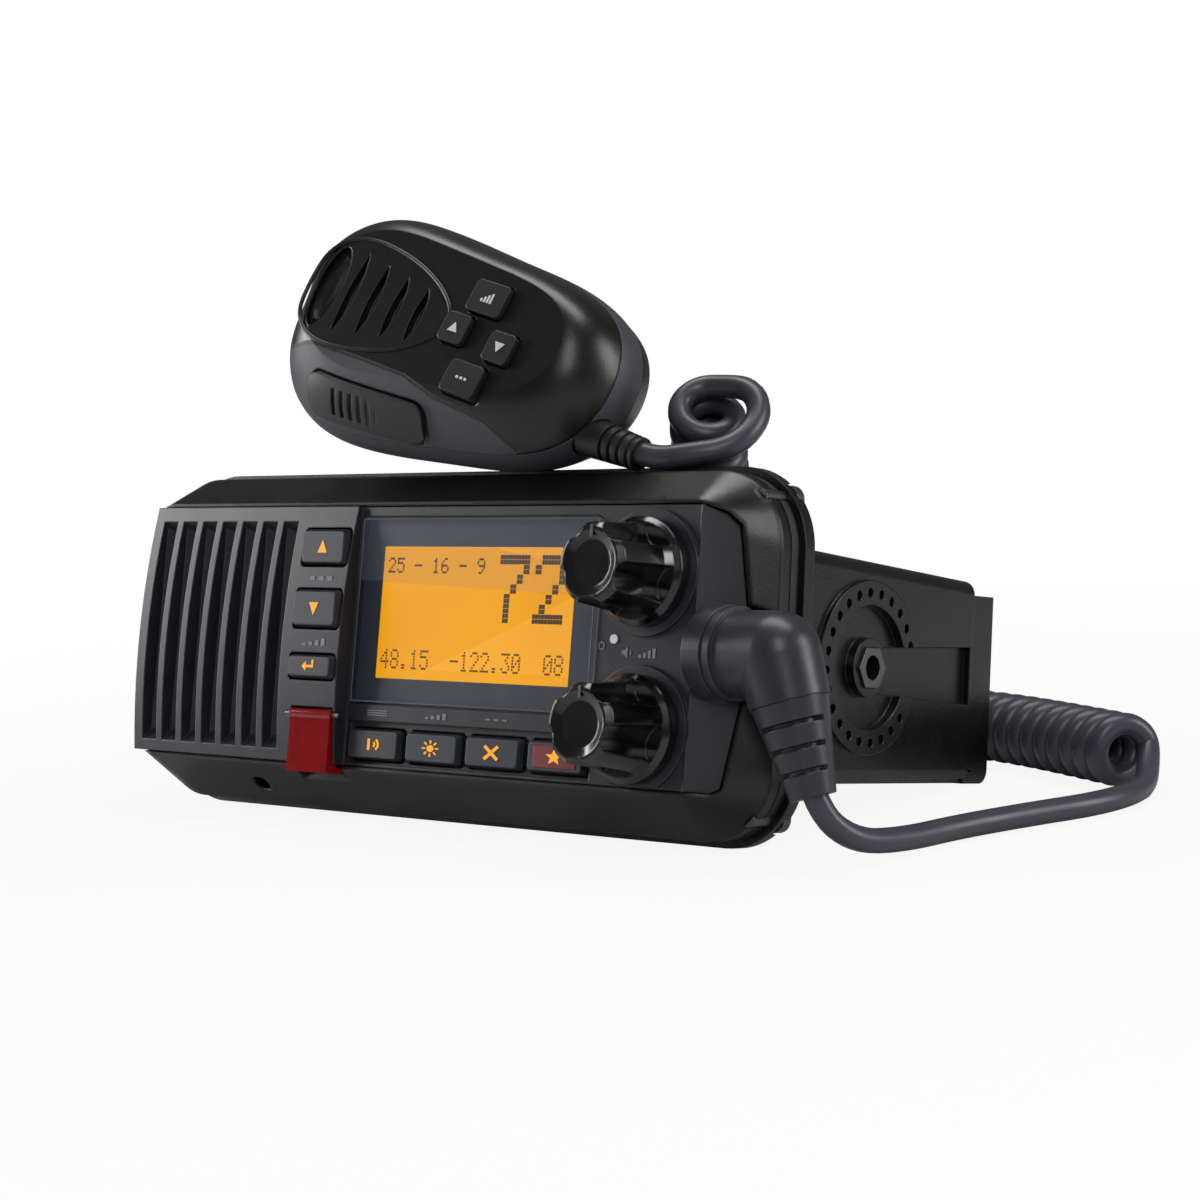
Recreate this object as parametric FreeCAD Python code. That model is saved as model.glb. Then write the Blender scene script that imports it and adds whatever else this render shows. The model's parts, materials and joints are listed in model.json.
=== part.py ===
import FreeCAD, Part
import math
import os

# Fixed-mount marine radio with a fist microphone on a curly cord.
# Millimetres. The radio is drawn level: X right, Y back, Z up, Z = 0 at the flange's lower
# edge, and then tipped front-up until it rests on that edge and on the case's rear edge.

# Driving dimensions of the case
FLANGE_W = 175.0
PANEL_Z = 11.0
PANEL_H = 54.6
TOP_BAND = 8.2
FLANGE_H = PANEL_Z + PANEL_H + TOP_BAND
FLANGE_R = 15.0
FLANGE_T = 3.0
GASKET_T = 2.6
GASKET_INSET = 1.4
BEZEL_BACK = 12.4
BEZEL_INSET = 1.3
BEZEL_RIM = 3.2
BEZEL_WALL = 2.4
CASE_LIP = 8.4
CASE_W = FLANGE_W - 2 * CASE_LIP
CASE_TOP = FLANGE_H - 14.2
CASE_TAPER = 4.0
CASE_FLOOR = 12.6
CASE_BACK = 89.0
CASE_R = 3.0
CASE_WALL = 3.0
FIN_COUNT = 11
FIN_T = 2.2
FIN_DEPTH = 8.5
FIN_MARGIN = 14.0

# Driving dimensions of the face
LEAN = 2.74
PANEL_L = 5.1 - FLANGE_W / 2
CREASE_X = FLANGE_W / 2 - 14.7
PANEL_T = 3.0
FACET_ANGLE = 45.0
FACET_W = 9.7
FACET_TOP_W = 6.9
FACET_FOOT_W = 6.5
FACET_DROP = 3.7
BOW_RIGHT = PANEL_L + 63.8
BOW_TOP = 1.2
BOW_PEAK = 4.0
BOW_FOOT = 2.6
BOW_PEAK_S = 19.0
SLOT_COUNT = 7
SLOT_PITCH = 6.5
SLOT_W = 4.6
SLOT_FIRST = PANEL_L + 2.8
SLOT_LOW = 2.4
SLOT_HIGH = PANEL_H - 3.2
SLOT_LEFT_H = 0.6
SLOT_RIGHT_H = -2.2
SLOT_END_RISE = 4.2
SLIT_W = 1.2
KNOB_X = CREASE_X - 12.6
RING_R = 12.4
GLASS_L = BOW_RIGHT + 1.0
GLASS_R = KNOB_X + 0.2 - RING_R
GLASS_LOW = 13.2
GLASS_HIGH = PANEL_H - 2.2
GLASS_T = 1.6
GLASS_PROUD = 0.7
DISPLAY_L = GLASS_L + 5.6
DISPLAY_R = GLASS_R - 6.8
DISPLAY_LOW = GLASS_LOW + 5.4
DISPLAY_HIGH = GLASS_HIGH - 6.0
DISPLAY_T = 3.4

# Keys: side key rows are (name, lower edge, upper edge) up the face
SIDE_KEY_L = BOW_RIGHT - 14.2
SIDE_KEY_W = 13.4
MIDDLE_S = PANEL_H / 2
SIDE_KEYS = (("up_key", PANEL_H - 12.8, PANEL_H - 5.0), ("down_key", MIDDLE_S + 1.1, MIDDLE_S + 9.3),
             ("enter_key", 17.6, 22.8))
SIDE_KEY_PROUD = 1.1
ROW_KEY_L = BOW_RIGHT + 1.6
ROW_KEY_COUNT = 4
ROW_KEY_SPACE = 1.9
ROW_KEY_PITCH = (KNOB_X - RING_R - ROW_KEY_L + 2.0) / ROW_KEY_COUNT
ROW_KEY_W = ROW_KEY_PITCH - ROW_KEY_SPACE
ROW_KEY_LOW = 1.5
ROW_KEY_H = 6.5
ROW_KEY_PROUD = 0.9
ROW_DROP = 1.2
ROW_LOW = 0.6
ROW_HIGH = 9.6
KEY_GAP = 0.35
KEY_TRAVEL = 0.8
KEY_STEM = 4.5
COVER_L = SIDE_KEY_L + 1.4
COVER_W = 12.0
COVER_LOW = -2.0
COVER_HIGH = 11.4
COVER_T = 1.2
COVER_PROUD = 2.9
COVER_GAP = 0.4
PIN_R = 0.6
PIN_GAP = 0.05
BUTTON_H = 6.5
BUTTON_W = 8.6

# Knobs and the control shafts behind them
KNOB_S = (PANEL_H - 13.2, 11.2)
KNOB_NAMES = ("volume", "squelch")
KNOB_R = 10.6
KNOB_SKIRT = 3.0
KNOB_H = 16.6
KNOB_TOP_R = 7.9
KNOB_LOBES = 5
FLUTE_R = 4.3
FLUTE_OUT = 10.6
DISH_DEPTH = 0.8
KNOB_STANDOFF = 0.5
RING_H = 0.9
SHAFT_R = 3.0
SHAFT_GAP = 0.05
POT_W = 11.0
POT_T = 7.0
LED_X = KNOB_X - 7.4
LED_S = MIDDLE_S + 1.1
LED_R = 0.9

# Side bracket seats of the case
BOSS_Y = 49.3
BOSS_Z = (CASE_FLOOR + CASE_TOP) / 2
BOSS_R = 17.6
BOSS_H = 1.0
DETENT_R = 15.1
DETENT_HOLE_R = 0.95
DETENT_COUNT = 24
DETENT_DEPTH = 1.2
RECESS_R = 12.6
RECESS_DEPTH = 2.0
HUB_R = 6.0
CHANNEL_H = 10.4
CHANNEL_DEPTH = 1.6
CHANNEL_END = 88.0
NUT_AF = 8.0
NUT_T = 6.0
NUT_BORE_R = 2.5

# Rear fittings and screws
ANTENNA_X = -44.0
ANTENNA_R = 7.5
ANTENNA_L = 14.0
ANTENNA_NECK_R = 6.8
ANTENNA_RIM = 2.0
ANTENNA_CLEAR = 12.0
GLAND_X = 46.0
GLAND_R = 6.0
GLAND_CLEAR = 11.0
PORT_Z = 34.0
SCREW_R = 1.5
SCREW_HEAD_R = 2.8
SCREW_INSET = 6.4

# Inside
SPEAKER_X = -58.0
BOARD_T = 1.6
BOARD_Y = 15.0
FRONT_BOARD_SIDE = 4.1
MAIN_BOARD_SIDE = 6.1
BOARD_POST_H = 4.0

# Microphone plug on the facet
PLUG_S = MIDDLE_S - 0.7
PLUG_AXIS = 85.0
PLUG_SEAT_X = CREASE_X + 6.7
PLUG_SEAT_H = -2.6
PLUG_BOSS_L = 4.6
BOSS_PLUG_R = 9.3
PLUG_R = 8.2
PLUG_RING_R = 9.0
PLUG_RING_T = 2.0
PLUG_REACH = 11.5
PLUG_DROP = 9.0
RELIEF_L = 18.0
RELIEF_R0 = 7.4
RELIEF_R1 = 4.4
RELIEF_SLOTS = 7

# Microphone
MIC_L = 86.0
MIC_HEAD = 25.5
MIC_BACK_T = 12.0
MIC_BAND_T = 8.0
MIC_FRONT_T = 10.0
MIC_WALL = 2.2
MIC_LEAN = 28.0
MIC_DIP = 17.0
MIC_X = 0.5
MIC_Y = 27.0
MIC_RISE = 24.8
MIC_RELIEF_Y = -7.0
MIC_KEY_H = 1.4
SOUND_SLOT_HALF = 9.5
SOUND_SLOT_DEPTH = 2.0
BADGE_X = 12.5 - MIC_L / 2
BADGE_LONG = 9.2
BADGE_SHORT = 3.3
BADGE_DEPTH = 1.8
MIC_FIELD_Y = 1.5
MIC_BOARD_INSET = 13.0
PTT_L = 32.0
PTT_W = 9.6
PTT_T = 2.0
PTT_PROUD = 0.9
PTT_GAP = 0.4
PTT_TRAVEL = 1.2
PTT_TILT = 46.0
PTT_IN = 5.2
PTT_UP = 6.2
PTT_RIBS = 6
PTT_RIB_PITCH = 2.4

# Curly cord
CORD_R = 2.4
COIL_R = 8.0
CORD_GAP = 0.06

FACE_BACK = -PANEL_T
CASE_FRONT = BEZEL_BACK + GASKET_T + FLANGE_T


def box(x0, x1, y0, y1, z0, z1):
    return Part.makeBox(x1 - x0, y1 - y0, z1 - z0, FreeCAD.Vector(x0, y0, z0))


def vec(x, y, z):
    return FreeCAD.Vector(x, y, z)


def cylinder(radius, base, axis, length):
    return Part.makeCylinder(radius, length, vec(*base), vec(*axis))


def fused(shapes):
    first, rest = shapes[0], shapes[1:]
    return first.fuse(list(rest)).removeSplitter() if rest else first


def wire_round(x0, x1, y0, y1, z, r):
    """A rounded rectangle at height z, as one closed wire."""
    k = r * (1 - math.sqrt(0.5))
    edges = [
        Part.LineSegment(vec(x0 + r, y0, z), vec(x1 - r, y0, z)).toShape(),
        Part.Arc(vec(x1 - r, y0, z), vec(x1 - k, y0 + k, z), vec(x1, y0 + r, z)).toShape(),
        Part.LineSegment(vec(x1, y0 + r, z), vec(x1, y1 - r, z)).toShape(),
        Part.Arc(vec(x1, y1 - r, z), vec(x1 - k, y1 - k, z), vec(x1 - r, y1, z)).toShape(),
        Part.LineSegment(vec(x1 - r, y1, z), vec(x0 + r, y1, z)).toShape(),
        Part.Arc(vec(x0 + r, y1, z), vec(x0 + k, y1 - k, z), vec(x0, y1 - r, z)).toShape(),
        Part.LineSegment(vec(x0, y1 - r, z), vec(x0, y0 + r, z)).toShape(),
        Part.Arc(vec(x0, y0 + r, z), vec(x0 + k, y0 + k, z), vec(x0 + r, y0, z)).toShape(),
    ]
    return Part.Wire(edges)


def plate(x0, x1, y0, y1, z0, z1, r):
    """A plate with round corners between two heights."""
    return Part.Face(wire_round(x0, x1, y0, y1, z0, r)).extrude(vec(0, 0, z1 - z0))


def polygon(points):
    return Part.Face(Part.makePolygon([vec(*p) for p in list(points) + [points[0]]]))


def on_face(shape):
    """From face axes (x right, y up the face, z outwards) to the level radio."""
    moved = shape.copy()
    moved.rotate(vec(0, 0, 0), vec(1, 0, 0), 90 - LEAN)
    moved.translate(vec(0, 0, PANEL_Z))
    return moved


def on_facet(shape):
    """From facet axes to face axes: the facet turns back at the crease."""
    moved = shape.copy()
    moved.rotate(vec(0, 0, 0), vec(0, 1, 0), FACET_ANGLE)
    moved.translate(vec(CREASE_X, 0, 0))
    return moved


def level(shape):
    """From a drawing plane (x, z up, y forwards) to the level radio, facing back."""
    moved = shape.copy()
    moved.rotate(vec(0, 0, 0), vec(1, 0, 0), 90)
    return moved


def case_plate(inset, y0, y1, r):
    """A slab of the front's outline, between two depths."""
    half = FLANGE_W / 2 - inset
    slab = plate(-half, half, inset, FLANGE_H - inset, 0, y1 - y0, r)
    slab = level(slab)
    slab.translate(vec(0, y1, 0))
    return slab


def resting_pitch():
    """Tip angle at which the flange's edge and the case's rear corner share a plane."""
    dy = CASE_BACK + FIN_DEPTH - CASE_R - CASE_FRONT
    dz = CASE_FLOOR + CASE_R
    return math.degrees(math.atan2(dz, dy) - math.asin(CASE_R / math.hypot(dy, dz)))


PITCH = resting_pitch()


def rest_radio(shape):
    moved = shape.copy()
    moved.rotate(vec(0, CASE_FRONT, 0), vec(1, 0, 0), -PITCH)
    return moved


def rest_point(x, y, z):
    return rest_radio(Part.Vertex(x, y, z)).Point


# Front bezel: a sloping frame round the panel, open behind
def facet_plate(grow, low, high):
    """The facet's outline, a trapezoid with cut corners, as a plate along its normal."""
    g = grow
    end = FACET_W + g
    return polygon([
        (-0.6, -g, low), (FACET_FOOT_W - 1.9, -g, low), (FACET_FOOT_W + g, 1.0 - g, low),
        (end, PLUG_S - 6.0, low), (end, PLUG_S + 6.0, low),
        (FACET_TOP_W + g, PANEL_H - FACET_DROP + g, low),
        (FACET_TOP_W - 2.7, PANEL_H - 1.4 + g, low), (-0.6, PANEL_H + g, low),
    ]).extrude(vec(0, 0, high - low))


def bezel_outer():
    inset = BEZEL_INSET
    half = FLANGE_W / 2 - inset
    back = wire_round(-half, half, inset, FLANGE_H - inset, 0, FLANGE_R)
    back.rotate(vec(0, 0, 0), vec(1, 0, 0), 90)
    back.translate(vec(0, BEZEL_BACK, 0))
    rim = back.copy()
    rim.translate(vec(0, -BEZEL_RIM, 0))
    front = wire_round(PANEL_L - 1.2, CREASE_X + 3.0, -1.0, PANEL_H + 0.8, 0.5, 5.0)
    front.rotate(vec(0, 0, 0), vec(1, 0, 0), 90 - LEAN)
    front.translate(vec(0, 0, PANEL_Z))
    return fused([Part.makeLoft([rim, front], True, True), Part.makeLoft([back, rim], True, True)])


def plug_axis():
    a = math.radians(PLUG_AXIS)
    return (math.sin(a), 0, math.cos(a))


def plug_post(radius, low, high):
    """A cylinder on the plug's axis, in face axes, measured from the plug's seat."""
    ax, ay, az = plug_axis()
    base = (PLUG_SEAT_X + ax * low, PLUG_S, PLUG_SEAT_H + az * low)
    return cylinder(radius, base, (ax, ay, az), high - low)


def make_bezel():
    body = bezel_outer()
    rim = case_plate(BEZEL_INSET + BEZEL_WALL, BEZEL_BACK - BEZEL_RIM + 0.4, BEZEL_BACK + 1,
                     FLANGE_R - BEZEL_WALL)
    inner = level(plate(PANEL_L + 0.5, CREASE_X + 4.0, PANEL_Z - 3.0, PANEL_Z + PANEL_H + 0.6,
                        -BEZEL_BACK - 1, -6.2, 4.0))
    flat = box(PANEL_L - 0.15, CREASE_X + 0.3, -0.15, PANEL_H + 0.15, -7, 8)
    flat = on_face(flat)
    facet = on_face(on_facet(facet_plate(0.15, FACE_BACK - 2, 12)))
    boss = on_face(plug_post(BOSS_PLUG_R + 0.15, -14, 8))
    notch = on_face(plate(COVER_L - 1.0, COVER_L + COVER_W + 1.0, -7.0, 4, -2.6, 8, 1.0))
    screw = level(plate(-50.2, -45.8, 4.2, 6.8, -9, 9, 1.25))
    return body.cut([rim, inner, flat, facet, boss, notch, screw])


# Front panel: flat part, facet with its plug seat, and the bowed grille part
def bow_profile():
    """Side outline of the grille part as a face in the plane x = PANEL_L."""
    x = PANEL_L
    top, peak = vec(x, PANEL_H, BOW_TOP), vec(x, BOW_PEAK_S, BOW_PEAK)
    foot, back = vec(x, 0, BOW_FOOT), FACE_BACK
    edges = [
        Part.Arc(top, peak, foot).toShape(),
        Part.LineSegment(foot, vec(x, 0, back)).toShape(),
        Part.LineSegment(vec(x, 0, back), vec(x, PANEL_H, back)).toShape(),
        Part.LineSegment(vec(x, PANEL_H, back), top).toShape(),
    ]
    return Part.Face(Part.Wire(edges))


def bow_height(s):
    """Height of the bowed front over the flat panel at s up the face."""
    arc = Part.Arc(vec(0, PANEL_H, BOW_TOP), vec(0, BOW_PEAK_S, BOW_PEAK), vec(0, 0, BOW_FOOT))
    cutter = Part.LineSegment(vec(0, s, -50), vec(0, s, 50)).toShape()
    return arc.toShape().distToShape(cutter)[1][0][0].z


def grille_slot(x):
    """A louvre: its floor slopes to the right, its ends slope in, a slit lets the sound out."""
    front = BOW_PEAK + 1
    right = x + SLOT_W
    louvre = polygon([
        (x, 0, front), (right, 0, front), (right, 0, SLOT_RIGHT_H), (x, 0, SLOT_LEFT_H),
    ]).extrude(vec(0, PANEL_H, 0))
    low, high, rise = bow_height(SLOT_LOW), bow_height(SLOT_HIGH), SLOT_END_RISE
    ends = polygon([
        (x - 1, SLOT_LOW, front), (x - 1, SLOT_LOW, low), (x - 1, SLOT_LOW + rise, low - rise),
        (x - 1, SLOT_LOW + rise, SLOT_RIGHT_H - 1), (x - 1, SLOT_HIGH - rise, SLOT_RIGHT_H - 1),
        (x - 1, SLOT_HIGH - rise, high - rise), (x - 1, SLOT_HIGH, high), (x - 1, SLOT_HIGH, front),
    ]).extrude(vec(SLOT_W + 2, 0, 0))
    slit = box(right - SLIT_W, right, SLOT_LOW + rise, SLOT_HIGH - rise, FACE_BACK - 1, front)
    return louvre.common(ends).fuse(slit)


def key_pockets():
    pockets = []
    for _, low, high in SIDE_KEYS:
        pockets.append(plate(SIDE_KEY_L - KEY_GAP, SIDE_KEY_L + SIDE_KEY_W + KEY_GAP,
                             low - KEY_GAP, high + KEY_GAP, FACE_BACK - 1, BOW_PEAK + 2, 1.0))
    for index in range(ROW_KEY_COUNT):
        left = ROW_KEY_L + index * ROW_KEY_PITCH
        pockets.append(plate(left - KEY_GAP, left + ROW_KEY_W + KEY_GAP, ROW_KEY_LOW - KEY_GAP,
                             ROW_KEY_LOW + ROW_KEY_H + KEY_GAP, FACE_BACK - 1, 4, 0.9))
    return pockets


def cover_pocket():
    low = BOW_FOOT - 2.4
    gap = COVER_GAP
    bay = box(COVER_L - gap, COVER_L + COVER_W + gap, -1, COVER_HIGH + gap, low, BOW_PEAK + 3)
    hole = plate(COVER_L + COVER_W / 2 - BUTTON_W / 2 - KEY_GAP,
                 COVER_L + COVER_W / 2 + BUTTON_W / 2 + KEY_GAP,
                 2.0 - KEY_GAP, 2.0 + BUTTON_H + KEY_GAP, FACE_BACK - 1, low + 1, 1.0)
    return fused([bay, hole])


def cover_pin_at():
    return COVER_HIGH - COVER_T, BOW_FOOT + 0.6


def make_panel():
    flat = box(BOW_RIGHT, CREASE_X, 0, PANEL_H, FACE_BACK, 0)
    grille = bow_profile().extrude(vec(BOW_RIGHT - PANEL_L, 0, 0))
    facet = on_facet(facet_plate(0, FACE_BACK, 0))
    boss = plug_post(BOSS_PLUG_R, -PLUG_BOSS_L, 0)
    behind = on_facet(box(-20, 30, -10, 70, -30, FACE_BACK))
    boss = boss.cut(behind)
    seats = [plate(KNOB_X - RING_R, KNOB_X + RING_R, s - RING_R, s + RING_R, 0, RING_H, RING_R - 0.01)
             for s in KNOB_S]
    common = box(BOW_RIGHT, CREASE_X, 0.6, PANEL_H - 0.6, -1, 5)
    seats = [seat.common(common) for seat in seats]
    body = flat.fuse([grille, facet, boss] + seats)
    cuts = [grille_slot(SLOT_FIRST + index * SLOT_PITCH) for index in range(SLOT_COUNT)]
    cuts += key_pockets()
    cuts.append(cover_pocket())
    cuts.append(box(BOW_RIGHT + 0.4, KNOB_X - RING_R + 1.0, ROW_LOW, ROW_HIGH, -ROW_DROP, 1))
    cuts.append(glass_plate(0.12, GLASS_PROUD - GLASS_T, 4))
    cuts.append(box(DISPLAY_L - 0.2, DISPLAY_R + 0.2, DISPLAY_LOW - 0.2, DISPLAY_HIGH + 0.2, -9, 1))
    cuts += [cylinder(SHAFT_R + 0.4, (KNOB_X, s, -9), (0, 0, 1), 14) for s in KNOB_S]
    cuts.append(cylinder(LED_R + 0.02, (LED_X, LED_S, -9), (0, 0, 1), 14))
    pin_s, pin_h = cover_pin_at()
    cuts.append(cylinder(PIN_R, (COVER_L - 2, pin_s, pin_h), (1, 0, 0), COVER_W + 4))
    cuts.append(plug_post(4.0, 1.4 - PLUG_BOSS_L, 1))
    return on_face(body.cut(cuts))


# Display window and module
def glass_plate(grow, low, high):
    body = plate(GLASS_L - grow, GLASS_R + grow, GLASS_LOW - grow, GLASS_HIGH + grow, low, high, 1.4)
    knob_clear = [cylinder(RING_R + 0.4 - grow, (KNOB_X, s, low - 1), (0, 0, 1), high - low + 2)
                  for s in KNOB_S]
    return body.cut(knob_clear)


def make_window():
    return on_face(glass_plate(0, GLASS_PROUD - GLASS_T, GLASS_PROUD))


def make_display():
    top = GLASS_PROUD - GLASS_T
    glass = box(DISPLAY_L, DISPLAY_R, DISPLAY_LOW, DISPLAY_HIGH, top - DISPLAY_T, top)
    return on_face(glass)


# Keys
def pad_key(left, low, width, height, top, draft):
    """A key cap with sloping sides on a stem that meets its contact."""
    r = 0.8
    body = Part.makeLoft([wire_round(left, left + width, low, low + height, top - 1.6, r),
                          wire_round(left + draft, left + width - draft, low + draft,
                                     low + height - draft, top, r)], True, True)
    stem = box(left + 1.2, left + width - 1.2, low + 1.0, low + height - 1.0, -KEY_STEM, top - 1.2)
    return on_face(fused([body, stem]))


def side_key(low, high):
    top = bow_height((low + high) / 2) + SIDE_KEY_PROUD
    return pad_key(SIDE_KEY_L, low, SIDE_KEY_W, high - low, top, 0.6)


def row_key(index):
    return pad_key(ROW_KEY_L + index * ROW_KEY_PITCH, ROW_KEY_LOW, ROW_KEY_W, ROW_KEY_H,
                   ROW_KEY_PROUD, 0.5)


def make_keypad_mat():
    """The rubber mat behind the keys, with a dome under each stem."""
    back = -KEY_STEM - KEY_TRAVEL - 0.2
    slab = box(SIDE_KEY_L - 1, ROW_KEY_L + 4 * ROW_KEY_PITCH, 0.8, GLASS_HIGH - 1, back - 1.2, back)
    clear = box(DISPLAY_L - 1, 90, ROW_HIGH, 90, back - 3, back + 1)
    return on_face(slab.cut(clear))


# Distress button, its flip cover and the pin
def make_cover():
    gap = COVER_GAP
    x0, x1 = COVER_L, COVER_L + COVER_W
    top = BOW_FOOT + COVER_PROUD - 1.4
    pin_s, pin_h = cover_pin_at()
    front = box(x0, x1, COVER_LOW, pin_s, top - COVER_T, top)
    hook = box(x0, x1, COVER_LOW, COVER_LOW + COVER_T, BOW_FOOT - 3.4, top)
    cheeks = [box(x, x + COVER_T, COVER_LOW, pin_s, BOW_FOOT - 1.6, top)
              for x in (x0, x1 - COVER_T)]
    barrel = cylinder(COVER_T, (x0, pin_s, pin_h), (1, 0, 0), COVER_W)
    web = box(x0, x1, pin_s - COVER_T, pin_s, pin_h, top)
    body = fused([front, hook, barrel, web] + cheeks)
    bore = cylinder(PIN_R + PIN_GAP, (x0 - 1, pin_s, pin_h), (1, 0, 0), COVER_W + 2)
    return on_face(body.cut(bore))


def make_cover_pin():
    pin_s, pin_h = cover_pin_at()
    return on_face(cylinder(PIN_R, (COVER_L - 2, pin_s, pin_h), (1, 0, 0), COVER_W + 4))


def make_distress_button():
    mid = COVER_L + COVER_W / 2
    return pad_key(mid - BUTTON_W / 2, 2.0, BUTTON_W, BUTTON_H, BOW_FOOT - 0.6, 0.5)


# Knobs
def knob_profile():
    """Half section of the plain knob, turned about its axis."""
    base = RING_H + KNOB_STANDOFF
    skirt, top = base + KNOB_SKIRT, base + KNOB_H
    points = [(0, base), (KNOB_R, base), (KNOB_R, skirt - 1.0), (KNOB_R - 1.0, skirt),
              (KNOB_TOP_R + 1.0, skirt + 2.0), (KNOB_TOP_R, top - 1.0), (KNOB_TOP_R - 1.0, top),
              (KNOB_TOP_R - 1.6, top), (KNOB_TOP_R - 3.4, top - DISH_DEPTH), (0, top - DISH_DEPTH)]
    outline = polygon([(r, 0, h) for r, h in points])
    return outline.revolve(vec(0, 0, 0), vec(0, 0, 1), 360)


def make_knob(s):
    base = RING_H + KNOB_STANDOFF
    body = knob_profile()
    flutes = []
    for index in range(KNOB_LOBES):
        angle = math.radians(90 + 360 / KNOB_LOBES * (index + 0.5))
        centre = (FLUTE_OUT * math.cos(angle), FLUTE_OUT * math.sin(angle), base + KNOB_SKIRT)
        flutes.append(cylinder(FLUTE_R, centre, (0, 0, 1), KNOB_H))
    bore = cylinder(SHAFT_R, (0, 0, base - 1), (0, 0, 1), 1 + KNOB_H * 0.6)
    body = body.cut(flutes + [bore])
    body.translate(vec(KNOB_X, s, 0))
    return on_face(body)


def make_shaft(s):
    base = RING_H + KNOB_STANDOFF
    return on_face(cylinder(SHAFT_R, (KNOB_X, s, -POT_T), (0, 0, 1), POT_T + base + KNOB_H * 0.6))


def make_control(s):
    """Rotary control: square body and a threaded neck that the shaft turns in."""
    half = POT_W / 2
    top = FACE_BACK - 0.1
    body = box(KNOB_X - half, KNOB_X + half, s - half, s + half, top - POT_T, top)
    return on_face(body.cut(cylinder(SHAFT_R + SHAFT_GAP, (KNOB_X, s, -POT_T - 20), (0, 0, 1), 40)))


# Rear case with flange, bracket seats and fins
def case_section(y, top, grow=0.0):
    half = CASE_W / 2 + grow
    wire = wire_round(-half, half, CASE_FLOOR - grow, top + grow, 0, CASE_R)
    wire.rotate(vec(0, 0, 0), vec(1, 0, 0), 90)
    wire.translate(vec(0, y, 0))
    return wire


def seat_cuts():
    """Cuts of one bracket seat, drawn on the plane x = 0 with +X outwards."""
    ring = []
    for index in range(DETENT_COUNT):
        angle = 2 * math.pi * (index + 0.25) / DETENT_COUNT
        y, z = DETENT_R * math.cos(angle), DETENT_R * math.sin(angle)
        if y > 0 and abs(z + 1.2) < CHANNEL_H / 2 + 0.6:
            continue
        ring.append(cylinder(DETENT_HOLE_R, (BOSS_H - DETENT_DEPTH, y, z), (1, 0, 0), DETENT_DEPTH + 1))
    recess = cylinder(RECESS_R, (BOSS_H - RECESS_DEPTH, 0, 0), (1, 0, 0), RECESS_DEPTH + 1)
    recess = recess.cut(cylinder(HUB_R, (-5, 0, 0), (1, 0, 0), 10))
    channel = polygon([
        (-CHANNEL_DEPTH, 5, CHANNEL_H / 2 - 1), (-CHANNEL_DEPTH, 5, -CHANNEL_H / 2),
        (-CHANNEL_DEPTH, CHANNEL_END - BOSS_Y, -CHANNEL_H / 2 - 1.6),
        (-CHANNEL_DEPTH, CHANNEL_END - BOSS_Y, CHANNEL_H / 2 + 0.2),
    ]).extrude(vec(CHANNEL_DEPTH + 5, 0, 0))
    channel = channel.cut(cylinder(HUB_R, (-5, 0, 0), (1, 0, 0), 12))
    return ring + [recess, channel]


def nut_hex(grow, low, high):
    """A hexagon along +X for the insert nut."""
    radius = (NUT_AF / 2 + grow) / math.cos(math.pi / 6)
    points = [(low, radius * math.cos(math.pi / 3 * k), radius * math.sin(math.pi / 3 * k))
              for k in range(6)]
    return polygon(points).extrude(vec(high - low, 0, 0))


def both_sides(shape):
    """The shape moved to the right bracket seat, and its mirror on the left."""
    right = shape.copy()
    right.translate(vec(CASE_W / 2, BOSS_Y, BOSS_Z))
    return [right, right.mirror(vec(0, 0, 0), vec(1, 0, 0))]


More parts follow.
